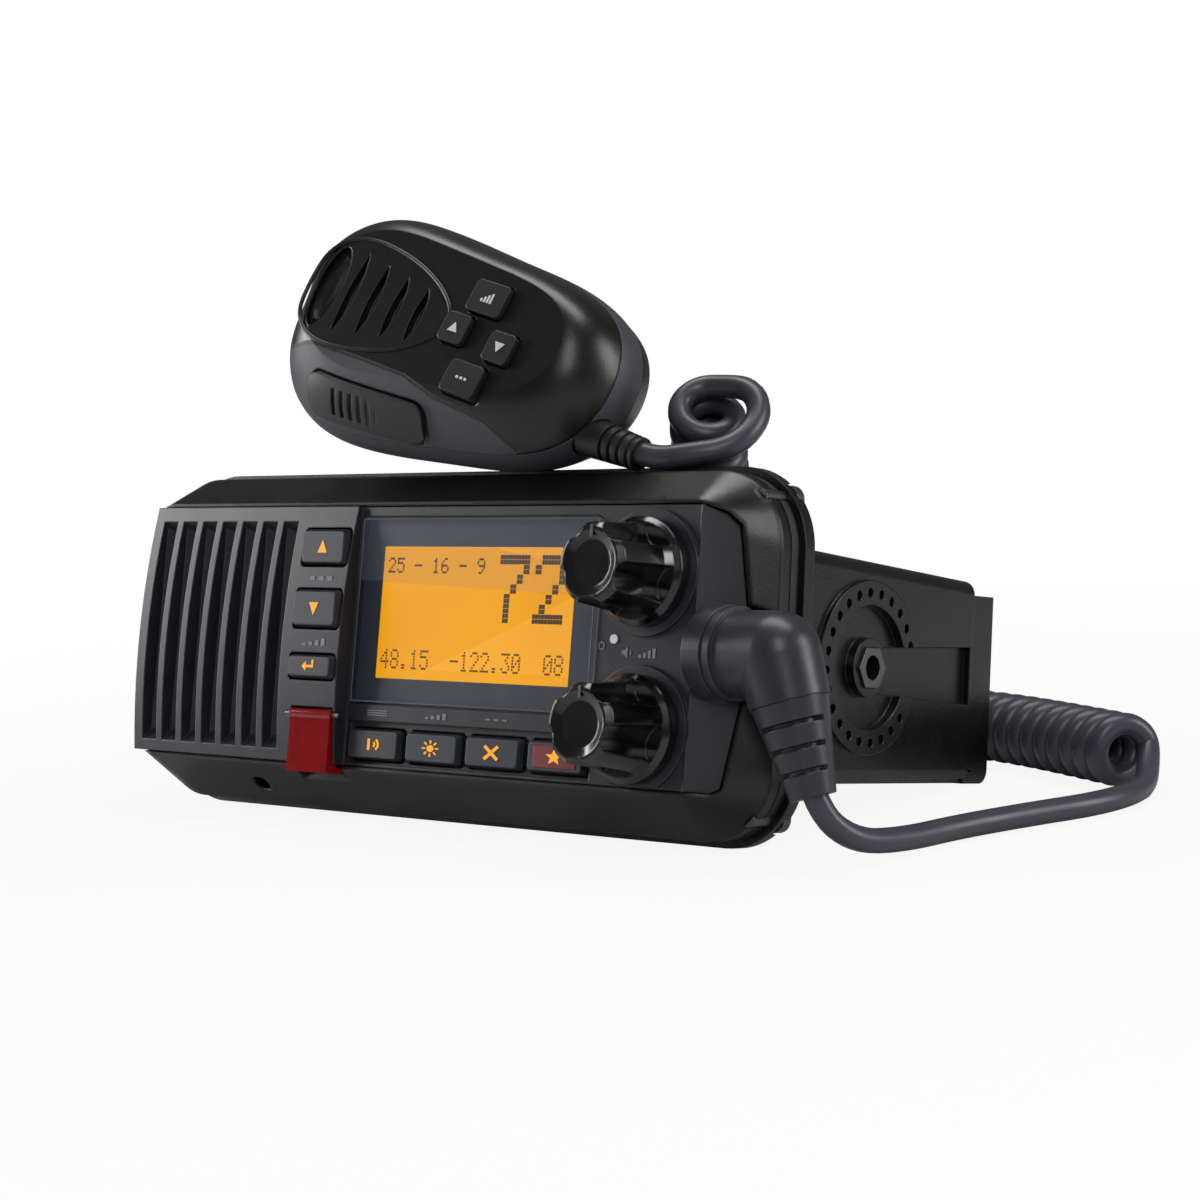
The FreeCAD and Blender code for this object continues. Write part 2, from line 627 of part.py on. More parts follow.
def make_case():
    rear = CASE_BACK
    top_rear = CASE_TOP - CASE_TAPER
    outer = Part.makeLoft([case_section(CASE_FRONT - 0.5, CASE_TOP), case_section(rear, top_rear)],
                          True, True)
    flange = case_plate(0, BEZEL_BACK + GASKET_T, CASE_FRONT, FLANGE_R + 1)
    wall = CASE_WALL
    inner = box(-CASE_W / 2 + wall, CASE_W / 2 - wall, 0, rear - wall,
                CASE_FLOOR + wall, top_rear - wall)
    seat = cylinder(BOSS_R, (-wall - NUT_T, 0, 0), (1, 0, 0), wall + NUT_T + BOSS_H)
    fin_low, fin_high = CASE_FLOOR, top_rear
    span = CASE_W - 2 * FIN_MARGIN
    fins = []
    for index in range(FIN_COUNT):
        x = -span / 2 + index * span / (FIN_COUNT - 1)
        if abs(x - ANTENNA_X) < ANTENNA_CLEAR or abs(x - GLAND_X) < GLAND_CLEAR:
            continue
        fins.append(box(x - FIN_T / 2, x + FIN_T / 2, rear - 1, rear + FIN_DEPTH, fin_low + 2, fin_high - 2))
    edge_fins = [box(x, x + FIN_T, rear - 1, rear + FIN_DEPTH, fin_low + CASE_R, fin_high - CASE_R)
                 for x in (-CASE_W / 2 + 0.6, CASE_W / 2 - 0.6 - FIN_T)]
    foot = cylinder(CASE_R, (-CASE_W / 2 + 0.6, rear + FIN_DEPTH - CASE_R, CASE_FLOOR + CASE_R),
                    (1, 0, 0), CASE_W - 1.2)
    sill = box(-CASE_W / 2 + 0.6, CASE_W / 2 - 0.6, rear - 1, rear + FIN_DEPTH - CASE_R,
               CASE_FLOOR, CASE_FLOOR + 2.6)
    body = outer.fuse([flange] + fins + edge_fins + [foot, sill])
    body = body.cut(inner)
    body = body.fuse(both_sides(seat))
    cuts = []
    for cut in seat_cuts():
        cuts += both_sides(cut)
    cuts += both_sides(nut_hex(0, -NUT_T + 0.6, 4))
    cuts += both_sides(cylinder(NUT_BORE_R + 1.0, (-NUT_T - wall - 1, 0, 0), (1, 0, 0), 12))
    cuts.append(cylinder(ANTENNA_NECK_R, (ANTENNA_X, rear - 10, PORT_Z), (0, 1, 0), 20))
    cuts.append(cylinder(GLAND_R, (GLAND_X, rear - 10, PORT_Z), (0, 1, 0), 20))
    for x, z in rear_screw_spots():
        cuts.append(cylinder(SCREW_R, (x, -5, z), (0, 1, 0), 60))
        cuts.append(cylinder(SCREW_HEAD_R + 0.3, (x, CASE_FRONT - 1.2, z), (0, 1, 0), 40))
    return body.cut(cuts)


# Rear fittings
def rear_screw_spots():
    x = FLANGE_W / 2 - SCREW_INSET
    return [(sx * x, z) for sx in (-1, 1) for z in (SCREW_INSET, FLANGE_H - SCREW_INSET)]


def make_antenna_socket():
    """Threaded barrel on a rim that seats on the case, with a neck through its wall."""
    y = CASE_BACK
    rim = cylinder(ANTENNA_R + 2.0, (ANTENNA_X, y, PORT_Z), (0, 1, 0), ANTENNA_RIM)
    barrel = cylinder(ANTENNA_R, (ANTENNA_X, y + ANTENNA_RIM, PORT_Z), (0, 1, 0), ANTENNA_L)
    neck = cylinder(ANTENNA_NECK_R, (ANTENNA_X, y - CASE_WALL - 4, PORT_Z), (0, 1, 0), CASE_WALL + 4)
    socket = cylinder(2.0, (ANTENNA_X, y + ANTENNA_RIM + 2, PORT_Z), (0, 1, 0), ANTENNA_L)
    return fused([rim, barrel, neck]).cut(socket)


def make_power_gland():
    y = CASE_BACK
    collar = cylinder(GLAND_R + 2.4, (GLAND_X, y, PORT_Z), (0, 1, 0), 3.0)
    body = cylinder(GLAND_R, (GLAND_X, y - 6, PORT_Z), (0, 1, 0), 18.0)
    bore = cylinder(3.2, (GLAND_X, y - 8, PORT_Z), (0, 1, 0), 30)
    return fused([collar, body]).cut(bore)


def make_side_nuts():
    nut = nut_hex(0, -NUT_T + 0.6, BOSS_H + 0.6).cut(cylinder(NUT_BORE_R, (-20, 0, 0), (1, 0, 0), 40))
    return both_sides(nut)


def make_gasket():
    slab = case_plate(GASKET_INSET, BEZEL_BACK, BEZEL_BACK + GASKET_T, FLANGE_R)
    hole = case_plate(BEZEL_INSET + BEZEL_WALL, 0, 30, FLANGE_R - BEZEL_WALL)
    corner = [cylinder(SCREW_R + 2.4, (x, 0, z), (0, 1, 0), 30) for x, z in rear_screw_spots()]
    keep = case_plate(GASKET_INSET + 0.2, BEZEL_BACK, BEZEL_BACK + GASKET_T, FLANGE_R)
    lugs = [lug.common(keep) for lug in corner]
    holes = [cylinder(SCREW_R + 0.2, (x, 0, z), (0, 1, 0), 30) for x, z in rear_screw_spots()]
    return slab.cut(hole).fuse(lugs).removeSplitter().cut(holes)


def bezel_posts():
    """Corner posts inside the bezel that the rear screws bite into."""
    posts = []
    for x, z in rear_screw_spots():
        posts.append(cylinder(SCREW_R + 2.2, (x, 6.0, z), (0, 1, 0), BEZEL_BACK - 6.0))
    return posts


def make_screws():
    screws = []
    y = CASE_FRONT - 1.2
    for x, z in rear_screw_spots():
        head = cylinder(SCREW_HEAD_R, (x, y, z), (0, 1, 0), 2.2)
        shank = cylinder(SCREW_R, (x, y - 8.0, z), (0, 1, 0), 8.0)
        screws.append(fused([head, shank]))
    return screws


def make_bezel_with_posts():
    body = make_bezel().fuse([post.common(bezel_outer()) for post in bezel_posts()])
    holes = [cylinder(SCREW_R, (x, CASE_FRONT - 9.2, z), (0, 1, 0), 12) for x, z in rear_screw_spots()]
    flat = on_face(box(PANEL_L - 0.15, CREASE_X + 0.3, -0.15, PANEL_H + 0.15, -7, 8))
    return body.cut(holes + [flat])


# Inside
def make_speaker():
    """Speaker behind the grille: frame, cone and magnet turned as one piece."""
    points = [(0, 0), (7.0, -1.2), (16.0, 2.4), (19.5, 2.4), (19.5, 0.8), (13.5, -7.0), (9.0, -7.0),
              (9.0, -13.0), (0, -13.0)]
    body = polygon([(r, 0, h) for r, h in points]).revolve(vec(0, 0, 0), vec(0, 0, 1), 360)
    body.translate(vec(SPEAKER_X, PANEL_H / 2, FACE_BACK - 2.4))
    return on_face(body)


def make_front_board():
    y = BOARD_Y
    right = CASE_W / 2 - CASE_WALL - FRONT_BOARD_SIDE
    low, high = CASE_FLOOR + CASE_WALL + 1.4, CASE_TOP - CASE_WALL - 4.6
    return box(SIDE_KEY_L - 1.2, right, y, y + BOARD_T, low, high)


def make_main_board():
    """Main board on the case floor with its screened radio section."""
    floor = CASE_FLOOR + CASE_WALL + BOARD_POST_H
    half = CASE_W / 2 - CASE_WALL - MAIN_BOARD_SIDE
    front, back = CASE_FRONT + 6.0, CASE_BACK - CASE_WALL - 9.0
    board = box(-half, half, front, back, floor, floor + BOARD_T)
    screen = box(10 - half, 62 - half, front + 10, back - 7, floor + BOARD_T, floor + 9)
    posts = [cylinder(2.5, (x, y, floor - BOARD_POST_H), (0, 0, 1), BOARD_POST_H)
             for x in (6 - half, half - 6) for y in (front + 6, back - 5)]
    return fused([board, screen] + posts)


def make_led():
    return on_face(cylinder(LED_R, (LED_X, LED_S, FACE_BACK - 4), (0, 0, 1), 4 - FACE_BACK + 0.3))


# Plug of the microphone lead
def plug_corner():
    ax, _, az = plug_axis()
    reach = PLUG_REACH
    return (PLUG_SEAT_X + ax * reach, PLUG_S, PLUG_SEAT_H + az * reach)


def plug_down():
    """Direction of the elbow's lower leg in face axes: down, a little right and back."""
    lean = math.radians(16)
    back = math.radians(8)
    return (math.sin(lean), -math.cos(lean) * math.cos(back), -math.sin(back))


def along(point, direction, distance):
    return tuple(p + d * distance for p, d in zip(point, direction))


def make_elbow():
    ax = plug_axis()
    corner, down = plug_corner(), plug_down()
    ring = plug_post(PLUG_RING_R, 0, PLUG_RING_T)
    neck = plug_post(PLUG_R, 0, PLUG_REACH)
    dome = Part.makeSphere(PLUG_R, vec(*corner))
    leg = Part.makeCone(PLUG_R, RELIEF_R0 + 0.3, PLUG_DROP, vec(*corner), vec(*down))
    return on_face(fused([ring, neck, dome, leg]))


def make_relief():
    corner, down = plug_corner(), plug_down()
    start = along(corner, down, PLUG_DROP)
    cone = Part.makeCone(RELIEF_R0, RELIEF_R1, RELIEF_L, vec(*start), vec(*down))
    core = Part.makeCone(RELIEF_R0 - 2.2, RELIEF_R1 - 1.2, RELIEF_L, vec(*start), vec(*down))
    side = vec(*down).cross(vec(0, 0, 1)).normalize()
    grooves = []
    pitch = RELIEF_L / (RELIEF_SLOTS + 1)
    for index in range(RELIEF_SLOTS):
        centre = vec(*along(start, down, pitch * (index + 0.9)))
        slab = Part.makeBox(30, 30, pitch * 0.42, vec(-15, 2.0 if index % 2 else -32.0, -pitch * 0.2))
        turn = FreeCAD.Rotation(vec(0, 0, 1), vec(*down))
        slab.Placement = FreeCAD.Placement(centre, turn)
        grooves.append(slab.cut(core))
    cone = cone.cut(grooves)
    bore = cylinder(CORD_R, along(start, down, RELIEF_L - 6), down, 10)
    return on_face(cone.cut(bore))


# Microphone, drawn flat: X to the tail, Y to the upper side, Z out of the front
MIC_POINTS = ((-0.93, 0.60, 0.62), (-0.72, 0.88, 0.93), (-0.3, 0.96, 1.0), (0.2, 0.89, 0.86),
              (0.62, 0.80, 0.70), (0.9, 0.55, 0.42))


def mic_wire(inset, z, rise=0.0):
    """Closed outline at a height, drawn in from the widest line and moved to the upper side."""
    half = MIC_L / 2 - inset
    wide = MIC_HEAD - inset
    upper = [vec(u * half, v * wide + rise, z) for u, v, _ in MIC_POINTS]
    lower = [vec(u * half, rise - w * wide, z) for u, _, w in MIC_POINTS]
    curve = Part.BSplineCurve()
    ends = [[vec(-half, rise, z)], [vec(half, rise, z)]]
    curve.interpolate(ends[0] + upper + ends[1] + lower[::-1], PeriodicFlag=True)
    return Part.Wire([curve.toShape()])


def mic_loft(sections):
    return Part.makeLoft([mic_wire(*section) for section in sections], True, False)


def make_mic_back():
    z0 = -MIC_BAND_T / 2
    outer = mic_loft([(inset, z0 - depth, rise) for inset, depth, rise in MIC_BACK])
    hollow = mic_loft([(MIC_WALL + 9.0, z0 - MIC_BACK_T + MIC_WALL + 1, 3.0), (MIC_WALL + 3.0, z0, 0.0)])
    hanger = cylinder(3.2, (-12, 0, z0 - MIC_BACK_T - 1), (0, 0, 1), 4)
    return outer.cut([hollow, hanger, relief_bore()])


def make_mic_band():
    z = MIC_BAND_T / 2
    outer = mic_loft([(0.4, -z), (0.0, 0.0), (0.8, z)])
    hollow = Part.Face(mic_wire(MIC_WALL + 3.0, -z)).extrude(vec(0, 0, 2 * z))
    return outer.cut([hollow, relief_bore()])


def relief_bore():
    return cylinder(4.2, (MIC_L / 2 - 8, MIC_RELIEF_Y, 0), (1, 0, 0), 12)


def front_skin(grow):
    """Solid under the front shell's outer surface, swollen by an amount."""
    z0 = MIC_BAND_T / 2
    return mic_loft([(inset - grow, z0 + height + grow * 0.7, rise) for inset, height, rise in MIC_FRONT])


def make_mic_front():
    z0 = MIC_BAND_T / 2
    hollow = mic_loft([(MIC_WALL + 3.0, z0, 0.0), (MIC_WALL + 6.5, z0 + 3.0, 0.6),
                       (MIC_WALL + 10.5, z0 + MIC_FRONT_T - 4.5, 1.6)])
    slots = [sound_slot(index) for index in range(len(SLOT_X))]
    keys = [plate(x - w / 2 - 0.3, x + w / 2 + 0.3, y - h / 2 - 0.3, y + h / 2 + 0.3, z0, z0 + 20, 1.2)
            for x, y, w, h in MIC_KEYS]
    badge = badge_plate(0.15, -BADGE_DEPTH, 3)
    seats = [badge, ptt_prism(PTT_GAP, PTT_TRAVEL + 0.3), relief_bore()]
    return front_skin(0).cut([hollow] + seats + slots + keys)


# Front keys of the microphone: centre, width along X and height along Y
MIC_KEYS = ((12.0, 9.5, 9.0, 7.0), (7.5, 1.5, 6.5, 6.5), (20.5, 0.5, 6.5, 6.5), (15.5, -8.0, 9.0, 7.0))
MIC_KEY_NAMES = ("mic_upper_key", "mic_channel_up_key", "mic_channel_down_key", "mic_lower_key")
SLOT_X = tuple(BADGE_X + 6.5 * (index + 1) for index in range(4))
MIC_BACK = ((9.5, MIC_BACK_T, 4.2), (5.0, MIC_BACK_T - 3.0, 2.9), (1.9, 4.0, 1.3), (0.4, 0.0, 0.0))
MIC_FRONT = ((0.8, 0.0, 0.0), (2.4, 3.5, 0.6), (5.6, 7.6, 1.6), (9.5, MIC_FRONT_T, 2.5))


def sound_slot(index):
    """A crescent with pointed ends in the front shell's crown."""
    half = SOUND_SLOT_HALF - 1.1 * index
    x, y = SLOT_X[index], MIC_FIELD_Y
    z = MIC_BAND_T / 2 + MIC_FRONT_T - SOUND_SLOT_DEPTH
    tips = vec(x, y - half, z), vec(x, y + half, z)
    left = Part.Arc(tips[0], vec(x - 0.9, y, z), tips[1]).toShape()
    right = Part.Arc(tips[1], vec(x + 1.6, y, z), tips[0]).toShape()
    return Part.Face(Part.Wire([left, right])).extrude(vec(0, 0, SOUND_SLOT_DEPTH + 1))


def on_flank(shape):
    """From the push-to-talk bar's axes (z outwards) to the microphone."""
    moved = shape.copy()
    moved.rotate(vec(0, 0, 0), vec(1, 0, 0), PTT_TILT)
    moved.translate(vec(0, PTT_IN - MIC_HEAD, MIC_BAND_T / 2 + PTT_UP))
    return moved


def ptt_span():
    return -PTT_L * 0.78, PTT_L * 0.22


def ptt_prism(grow, deeper):
    x0, x1 = ptt_span()
    half = PTT_W / 2 + grow
    return on_flank(plate(x0 - grow, x1 + grow, -half, half, -PTT_T - deeper, 8, 3.0 + grow))


def make_ptt():
    """Push-to-talk bar in the sloping flank, with grip ribs between cut grooves."""
    start = ptt_span()[0] + PTT_L / 2 - PTT_RIB_PITCH * (PTT_RIBS + 1) / 2
    grooves = [box(start + PTT_RIB_PITCH * k, start + PTT_RIB_PITCH * k + 1.1, -3.0, 3.0, PTT_PROUD - 0.7, 8)
               for k in range(PTT_RIBS + 1)]
    return front_skin(PTT_PROUD).common(ptt_prism(0, 0)).cut([on_flank(groove) for groove in grooves])


def make_mic_key(spec):
    x, y, w, h = spec
    top = MIC_BAND_T / 2 + MIC_FRONT_T + MIC_KEY_H
    return plate(x - w / 2, x + w / 2, y - h / 2, y + h / 2, top - 7.5, top, 1.0)


def badge_plate(grow, low, high):
    """The oval badge near the head, between two heights over the front shell's crown."""
    rim = Part.Ellipse(vec(0, 0, 0), BADGE_LONG + grow, BADGE_SHORT + grow)
    face = Part.Face(Part.Wire([rim.toShape()]))
    face.rotate(vec(0, 0, 0), vec(0, 0, 1), 90)
    face.translate(vec(BADGE_X, MIC_FIELD_Y, MIC_BAND_T / 2 + MIC_FRONT_T + low))
    return face.extrude(vec(0, 0, high - low))


def make_mic_badge():
    return badge_plate(0, -BADGE_DEPTH, -BADGE_DEPTH + 1.0)


def make_mic_relief():
    start = MIC_L / 2 - 4.0
    y = MIC_RELIEF_Y
    cone = Part.makeCone(4.2, 3.4, 14.0, vec(start, y, 0), vec(1, 0, 0))
    core = cylinder(3.0, (start, y, 0), (1, 0, 0), 20)
    grooves = [cylinder(6, (start + 5.8 + 2.2 * k, y, 0), (1, 0, 0), 0.9).cut(core) for k in range(4)]
    return cone.cut(grooves + [cylinder(CORD_R + CORD_GAP, (start + 8, y, 0), (1, 0, 0), 10)])


def place_mic(shape):
    """Lay the microphone on its lower side on top of the radio, leaning back."""
    moved = shape.copy()
    moved.rotate(vec(0, 0, 0), vec(1, 0, 0), 90 - MIC_LEAN)
    moved.rotate(vec(0, 0, 0), vec(0, 1, 0), MIC_DIP)
    moved.translate(vec(MIC_X, MIC_Y, rest_point(0, CASE_FRONT, FLANGE_H).z + MIC_RISE))
    return moved


def make_mic_capsule():
    z = MIC_BAND_T / 2 + MIC_FRONT_T - 4.5 - 0.2
    return cylinder(4.8, (SLOT_X[0] + 3, 0, z - 5.0), (0, 0, 1), 5.0)


def make_mic_board():
    half = MIC_L / 2 - MIC_BOARD_INSET
    return plate(-half, half, -10.5, 10.5, 0.4, 0.4 + BOARD_T, 4.0)


# Cord: routes chosen by hand on the standing radio, the coils as fat tubes
FLOOR_TAIL = ((96.74, 7.82, 19.29), (99.09, 7.29, 11.13), (103.0, 13.0, 4.6), (105.0, 26.0, 2.7),
              (107.5, 42.0, 2.5), (113.5, 58.0, 2.5), (120.0, 72.0, 2.5), (121.6, 84.0, 2.6),
              (119.4, 94.2, 2.7))
LOWER_COIL = ((112.0, 99.5, 8.3), (95.0, 108.5, 8.3), (72.0, 119.0, 8.3), (42.0, 126.5, 8.3),
              (12.0, 127.5, 9.0), (-9.0, 123.0, 17.3), (-9.0, 117.5, 33.0))
UPPER_COIL = ((-9.0, 117.5, 33.0), (-9.0, 112.55, 47.13), (8.0, 98.0, 58.0), (27.0, 75.0, 62.0),
              (45.0, 52.0, 64.5), (56.0, 37.0, 85.0))
MIC_TAIL = ((43.64, 23.71, 77.97), (52.53, 23.71, 75.25), (59.0, 25.2, 75.8), (66.8, 31.0, 76.6),
            (68.5, 38.5, 82.0), (64.5, 41.5, 88.0), (56.5, 41.5, 89.0))


def bend_radius(a, b, c):
    """Arc radius at b that its two runs allow, and the tangent length it takes."""
    first, second = b - a, c - b
    turn = first.getAngle(second)
    shorter = min(first.Length, second.Length)
    return 0.45 * shorter / math.tan(turn / 2), 0.45 * shorter


def route_edges(points):
    """Straight runs joined by tangent arcs."""
    nodes = [vec(*p) for p in points]
    edges, start = [], nodes[0]
    for before, corner, after in zip(nodes, nodes[1:], nodes[2:]):
        radius, cut = bend_radius(before, corner, after)
        print("bend radius %.1f" % radius)
        inward = (before - corner).normalize()
        outward = (after - corner).normalize()
        enter, leave = corner + inward * cut, corner + outward * cut
        half = inward.getAngle(outward) / 2
        centre = corner + (inward + outward).normalize() * (radius / math.sin(half))
        middle = centre + (corner - centre).normalize() * radius
        edges.append(Part.LineSegment(start, enter).toShape())
        edges.append(Part.Arc(enter, middle, leave).toShape())
        start = leave
    edges.append(Part.LineSegment(start, nodes[-1]).toShape())
    return edges


def tube(points, radius):
    """A tube of round section along the route."""
    edges = route_edges(points)
    path = Part.Wire(edges)
    first = vec(*points[0])
    ring = Part.Wire([Part.Circle(first, vec(*points[1]) - first, radius).toShape()])
    body = path.makePipeShell([ring], True, True)
    print("cord volume ratio %.4f" % (body.Volume / (math.pi * radius ** 2 * path.Length)))
    return body


def cord_nodes():
    return {
        "cord_floor_tail": tube(FLOOR_TAIL, CORD_R),
        "cord_lower_coil": tube(LOWER_COIL, COIL_R),
        "cord_upper_coil": tube(UPPER_COIL, COIL_R),
        "cord_mic_tail": tube(MIC_TAIL, CORD_R),
    }


def export(name, shape):
    shape.exportStep("parts/" + name + ".step")


def radio_nodes():
    """Every piece of the radio by name, in the level frame."""
    nodes = {
        "front_bezel": make_bezel_with_posts(),
        "front_panel": make_panel(),
        "display_window": make_window(),
        "display_module": make_display(),
        "keypad_mat": make_keypad_mat(),
        "distress_cover": make_cover(),
        "distress_cover_pin": make_cover_pin(),
        "distress_button": make_distress_button(),
        "power_lamp": make_led(),
        "rubber_gasket": make_gasket(),
        "rear_case": make_case(),
        "bracket_nuts": Part.makeCompound(make_side_nuts()),
        "case_screws": Part.makeCompound(make_screws()),
        "antenna_socket": make_antenna_socket(),
        "power_lead_gland": make_power_gland(),
        "speaker": make_speaker(),
        "front_board": make_front_board(),
        "main_board": make_main_board(),
        "microphone_plug": make_elbow(),
        "plug_strain_relief": make_relief(),
    }
    for name, low, high in SIDE_KEYS:
        nodes[name] = side_key(low, high)
    for index in range(4):
        nodes["row_key_%d" % (index + 1)] = row_key(index)
    for name, s in zip(KNOB_NAMES, KNOB_S):
        nodes[name + "_knob"] = make_knob(s)
        nodes[name + "_shaft"] = make_shaft(s)
        nodes[name + "_control"] = make_control(s)
    return nodes


def mic_nodes():
    """Every piece of the microphone by name, drawn flat."""
    nodes = {
        "mic_front_shell": make_mic_front(),
        "mic_grip_band": make_mic_band(),
        "mic_back_shell": make_mic_back(),
        "push_to_talk_bar": make_ptt(),
        "mic_badge": make_mic_badge(),
        "mic_capsule": make_mic_capsule(),
        "mic_board": make_mic_board(),
        "mic_strain_relief": make_mic_relief(),
    }
    for name, spec in zip(MIC_KEY_NAMES, MIC_KEYS):
        nodes[name] = make_mic_key(spec)
    return nodes


CORD_NODES = ("cord_floor_tail", "cord_lower_coil", "cord_upper_coil", "cord_mic_tail",
              "microphone_plug", "plug_strain_relief")


def placed_nodes():
    """Every piece by name, on the standing radio."""
    nodes = {name: rest_radio(shape) for name, shape in radio_nodes().items()}
    nodes.update({name: place_mic(shape) for name, shape in mic_nodes().items()})
    nodes.update(cord_nodes())
    return nodes


def origin_shift(nodes):
    """Move that puts the origin under the middle of the radio and microphone."""
    boxes = [shape.optimalBoundingBox(False) for name, shape in nodes.items()
             if name not in CORD_NODES]
    total = boxes[0]
    for other in boxes[1:]:
        total.add(other)
    return vec(-total.Center.x, -total.Center.y, -total.ZMin)


os.makedirs("parts", exist_ok=True)
NODES = placed_nodes()
SHIFT = origin_shift(NODES)
print("origin shift", SHIFT)
for node_name, node_shape in NODES.items():
    node_shape.translate(SHIFT)
    export(node_name, node_shape)
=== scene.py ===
"""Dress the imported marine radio: finishes, legends, display picture, cord, light and camera."""
import json
import logging
import math
from dataclasses import dataclass
from enum import Enum

import bmesh
import bpy
from mathutils import Matrix, Vector


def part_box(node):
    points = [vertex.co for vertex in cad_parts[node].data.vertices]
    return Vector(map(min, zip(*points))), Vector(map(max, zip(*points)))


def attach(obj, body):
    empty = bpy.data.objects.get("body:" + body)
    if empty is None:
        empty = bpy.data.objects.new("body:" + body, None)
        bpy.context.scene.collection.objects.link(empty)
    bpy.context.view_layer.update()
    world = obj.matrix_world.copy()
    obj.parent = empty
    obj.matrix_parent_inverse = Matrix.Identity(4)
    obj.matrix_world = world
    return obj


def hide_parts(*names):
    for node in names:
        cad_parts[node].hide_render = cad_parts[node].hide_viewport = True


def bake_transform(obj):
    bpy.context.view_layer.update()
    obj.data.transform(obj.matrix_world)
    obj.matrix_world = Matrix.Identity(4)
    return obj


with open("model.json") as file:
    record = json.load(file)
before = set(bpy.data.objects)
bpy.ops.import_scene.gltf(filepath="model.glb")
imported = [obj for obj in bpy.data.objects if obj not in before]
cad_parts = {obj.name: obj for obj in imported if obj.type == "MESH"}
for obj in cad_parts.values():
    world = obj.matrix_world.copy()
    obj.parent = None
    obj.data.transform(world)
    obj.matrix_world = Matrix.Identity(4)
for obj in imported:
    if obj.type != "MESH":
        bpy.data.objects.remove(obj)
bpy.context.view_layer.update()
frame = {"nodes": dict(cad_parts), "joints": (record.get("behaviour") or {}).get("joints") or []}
LOG = logging.getLogger("radio")
MM = 0.001

# Places on the front face, in millimetres from the panel's lower left datum
FACE_KNOB_X = 60.2
FACE_KNOB_UP = 41.4
DISPLAY_TOP = -0.9
BOW = ((0.0, 2.6), (19.0, 4.0), (54.6, 1.2))
ORIGIN_Y = -47.969
MIC_BOARD_UP = 1.2

# The cord's routes, as they lie on the standing radio, in millimetres
FLOOR_TAIL = ((96.74, 7.82, 19.29), (99.09, 7.29, 11.13), (103.0, 13.0, 4.6), (105.0, 26.0, 2.7),
              (107.5, 42.0, 2.5), (113.5, 58.0, 2.5), (120.0, 72.0, 2.5), (121.6, 84.0, 2.6),
              (119.4, 94.2, 2.7))
LOWER_COIL = ((112.0, 99.5, 8.3), (95.0, 108.5, 8.3), (72.0, 119.0, 8.3), (42.0, 126.5, 8.3),
              (12.0, 127.5, 9.0), (-9.0, 123.0, 17.3), (-9.0, 117.5, 33.0))
UPPER_COIL = ((-9.0, 117.5, 33.0), (-9.0, 112.55, 47.13), (8.0, 98.0, 58.0), (27.0, 75.0, 62.0),
              (45.0, 52.0, 64.5), (56.0, 37.0, 85.0))
MIC_TAIL = ((43.64, 23.71, 77.97), (52.53, 23.71, 75.25), (59.0, 25.2, 75.8), (66.8, 31.0, 76.6),
            (68.5, 38.5, 82.0), (64.5, 41.5, 88.0), (56.5, 41.5, 89.0))
CORD_R = 2.4
COIL_R = 8.0
TURN_PITCH = 5.0
TURN_POINTS = 12
LINE_STEPS = 6

# Noise scales in cells per metre: colour clouds, worn sheen, wipe marks and waves in clear plastic
CLOUD, SHEEN, WIPE, WAVES = 60.0, 180.0, 240.0, 45.0
COAT_ROUGH = 0.12

# Foot and top of a printed sign over its face, in millimetres
PRINT_FOOT, PRINT_TOP = -0.04, 0.12


class Sign(Enum):
    """Plain signs for keys and panel."""

    UP = "up"
    DOWN = "down"
    RETURN = "return"
    WAVE = "wave"
    SUN = "sun"
    CROSS = "cross"
    STAR = "star"
    LINES = "lines"
    DOTS = "dots"
    BARS = "bars"
    RING = "ring"
    SPEAKER = "speaker"
    GATE = "gate"


class Plane:
    """Flat datum that drawings are laid on, in millimetres to the right, up and out."""

    right: Vector
    up: Vector
    out: Vector
    datum: Vector

    def point(self, x: float, up: float, out: float) -> Vector:
        """Return a place on the plane in the frame's metres."""
        return self.datum + (self.right * x + self.up * up + self.out * out) * MM

    def matrix(self, x: float, up: float, out: float) -> Matrix:
        """Return the placing of a flat drawing whose X is right and Y is up."""
        axes = Matrix((self.right, self.up, self.out)).transposed().to_4x4()
        return Matrix.Translation(self.point(x, up, out)) @ axes


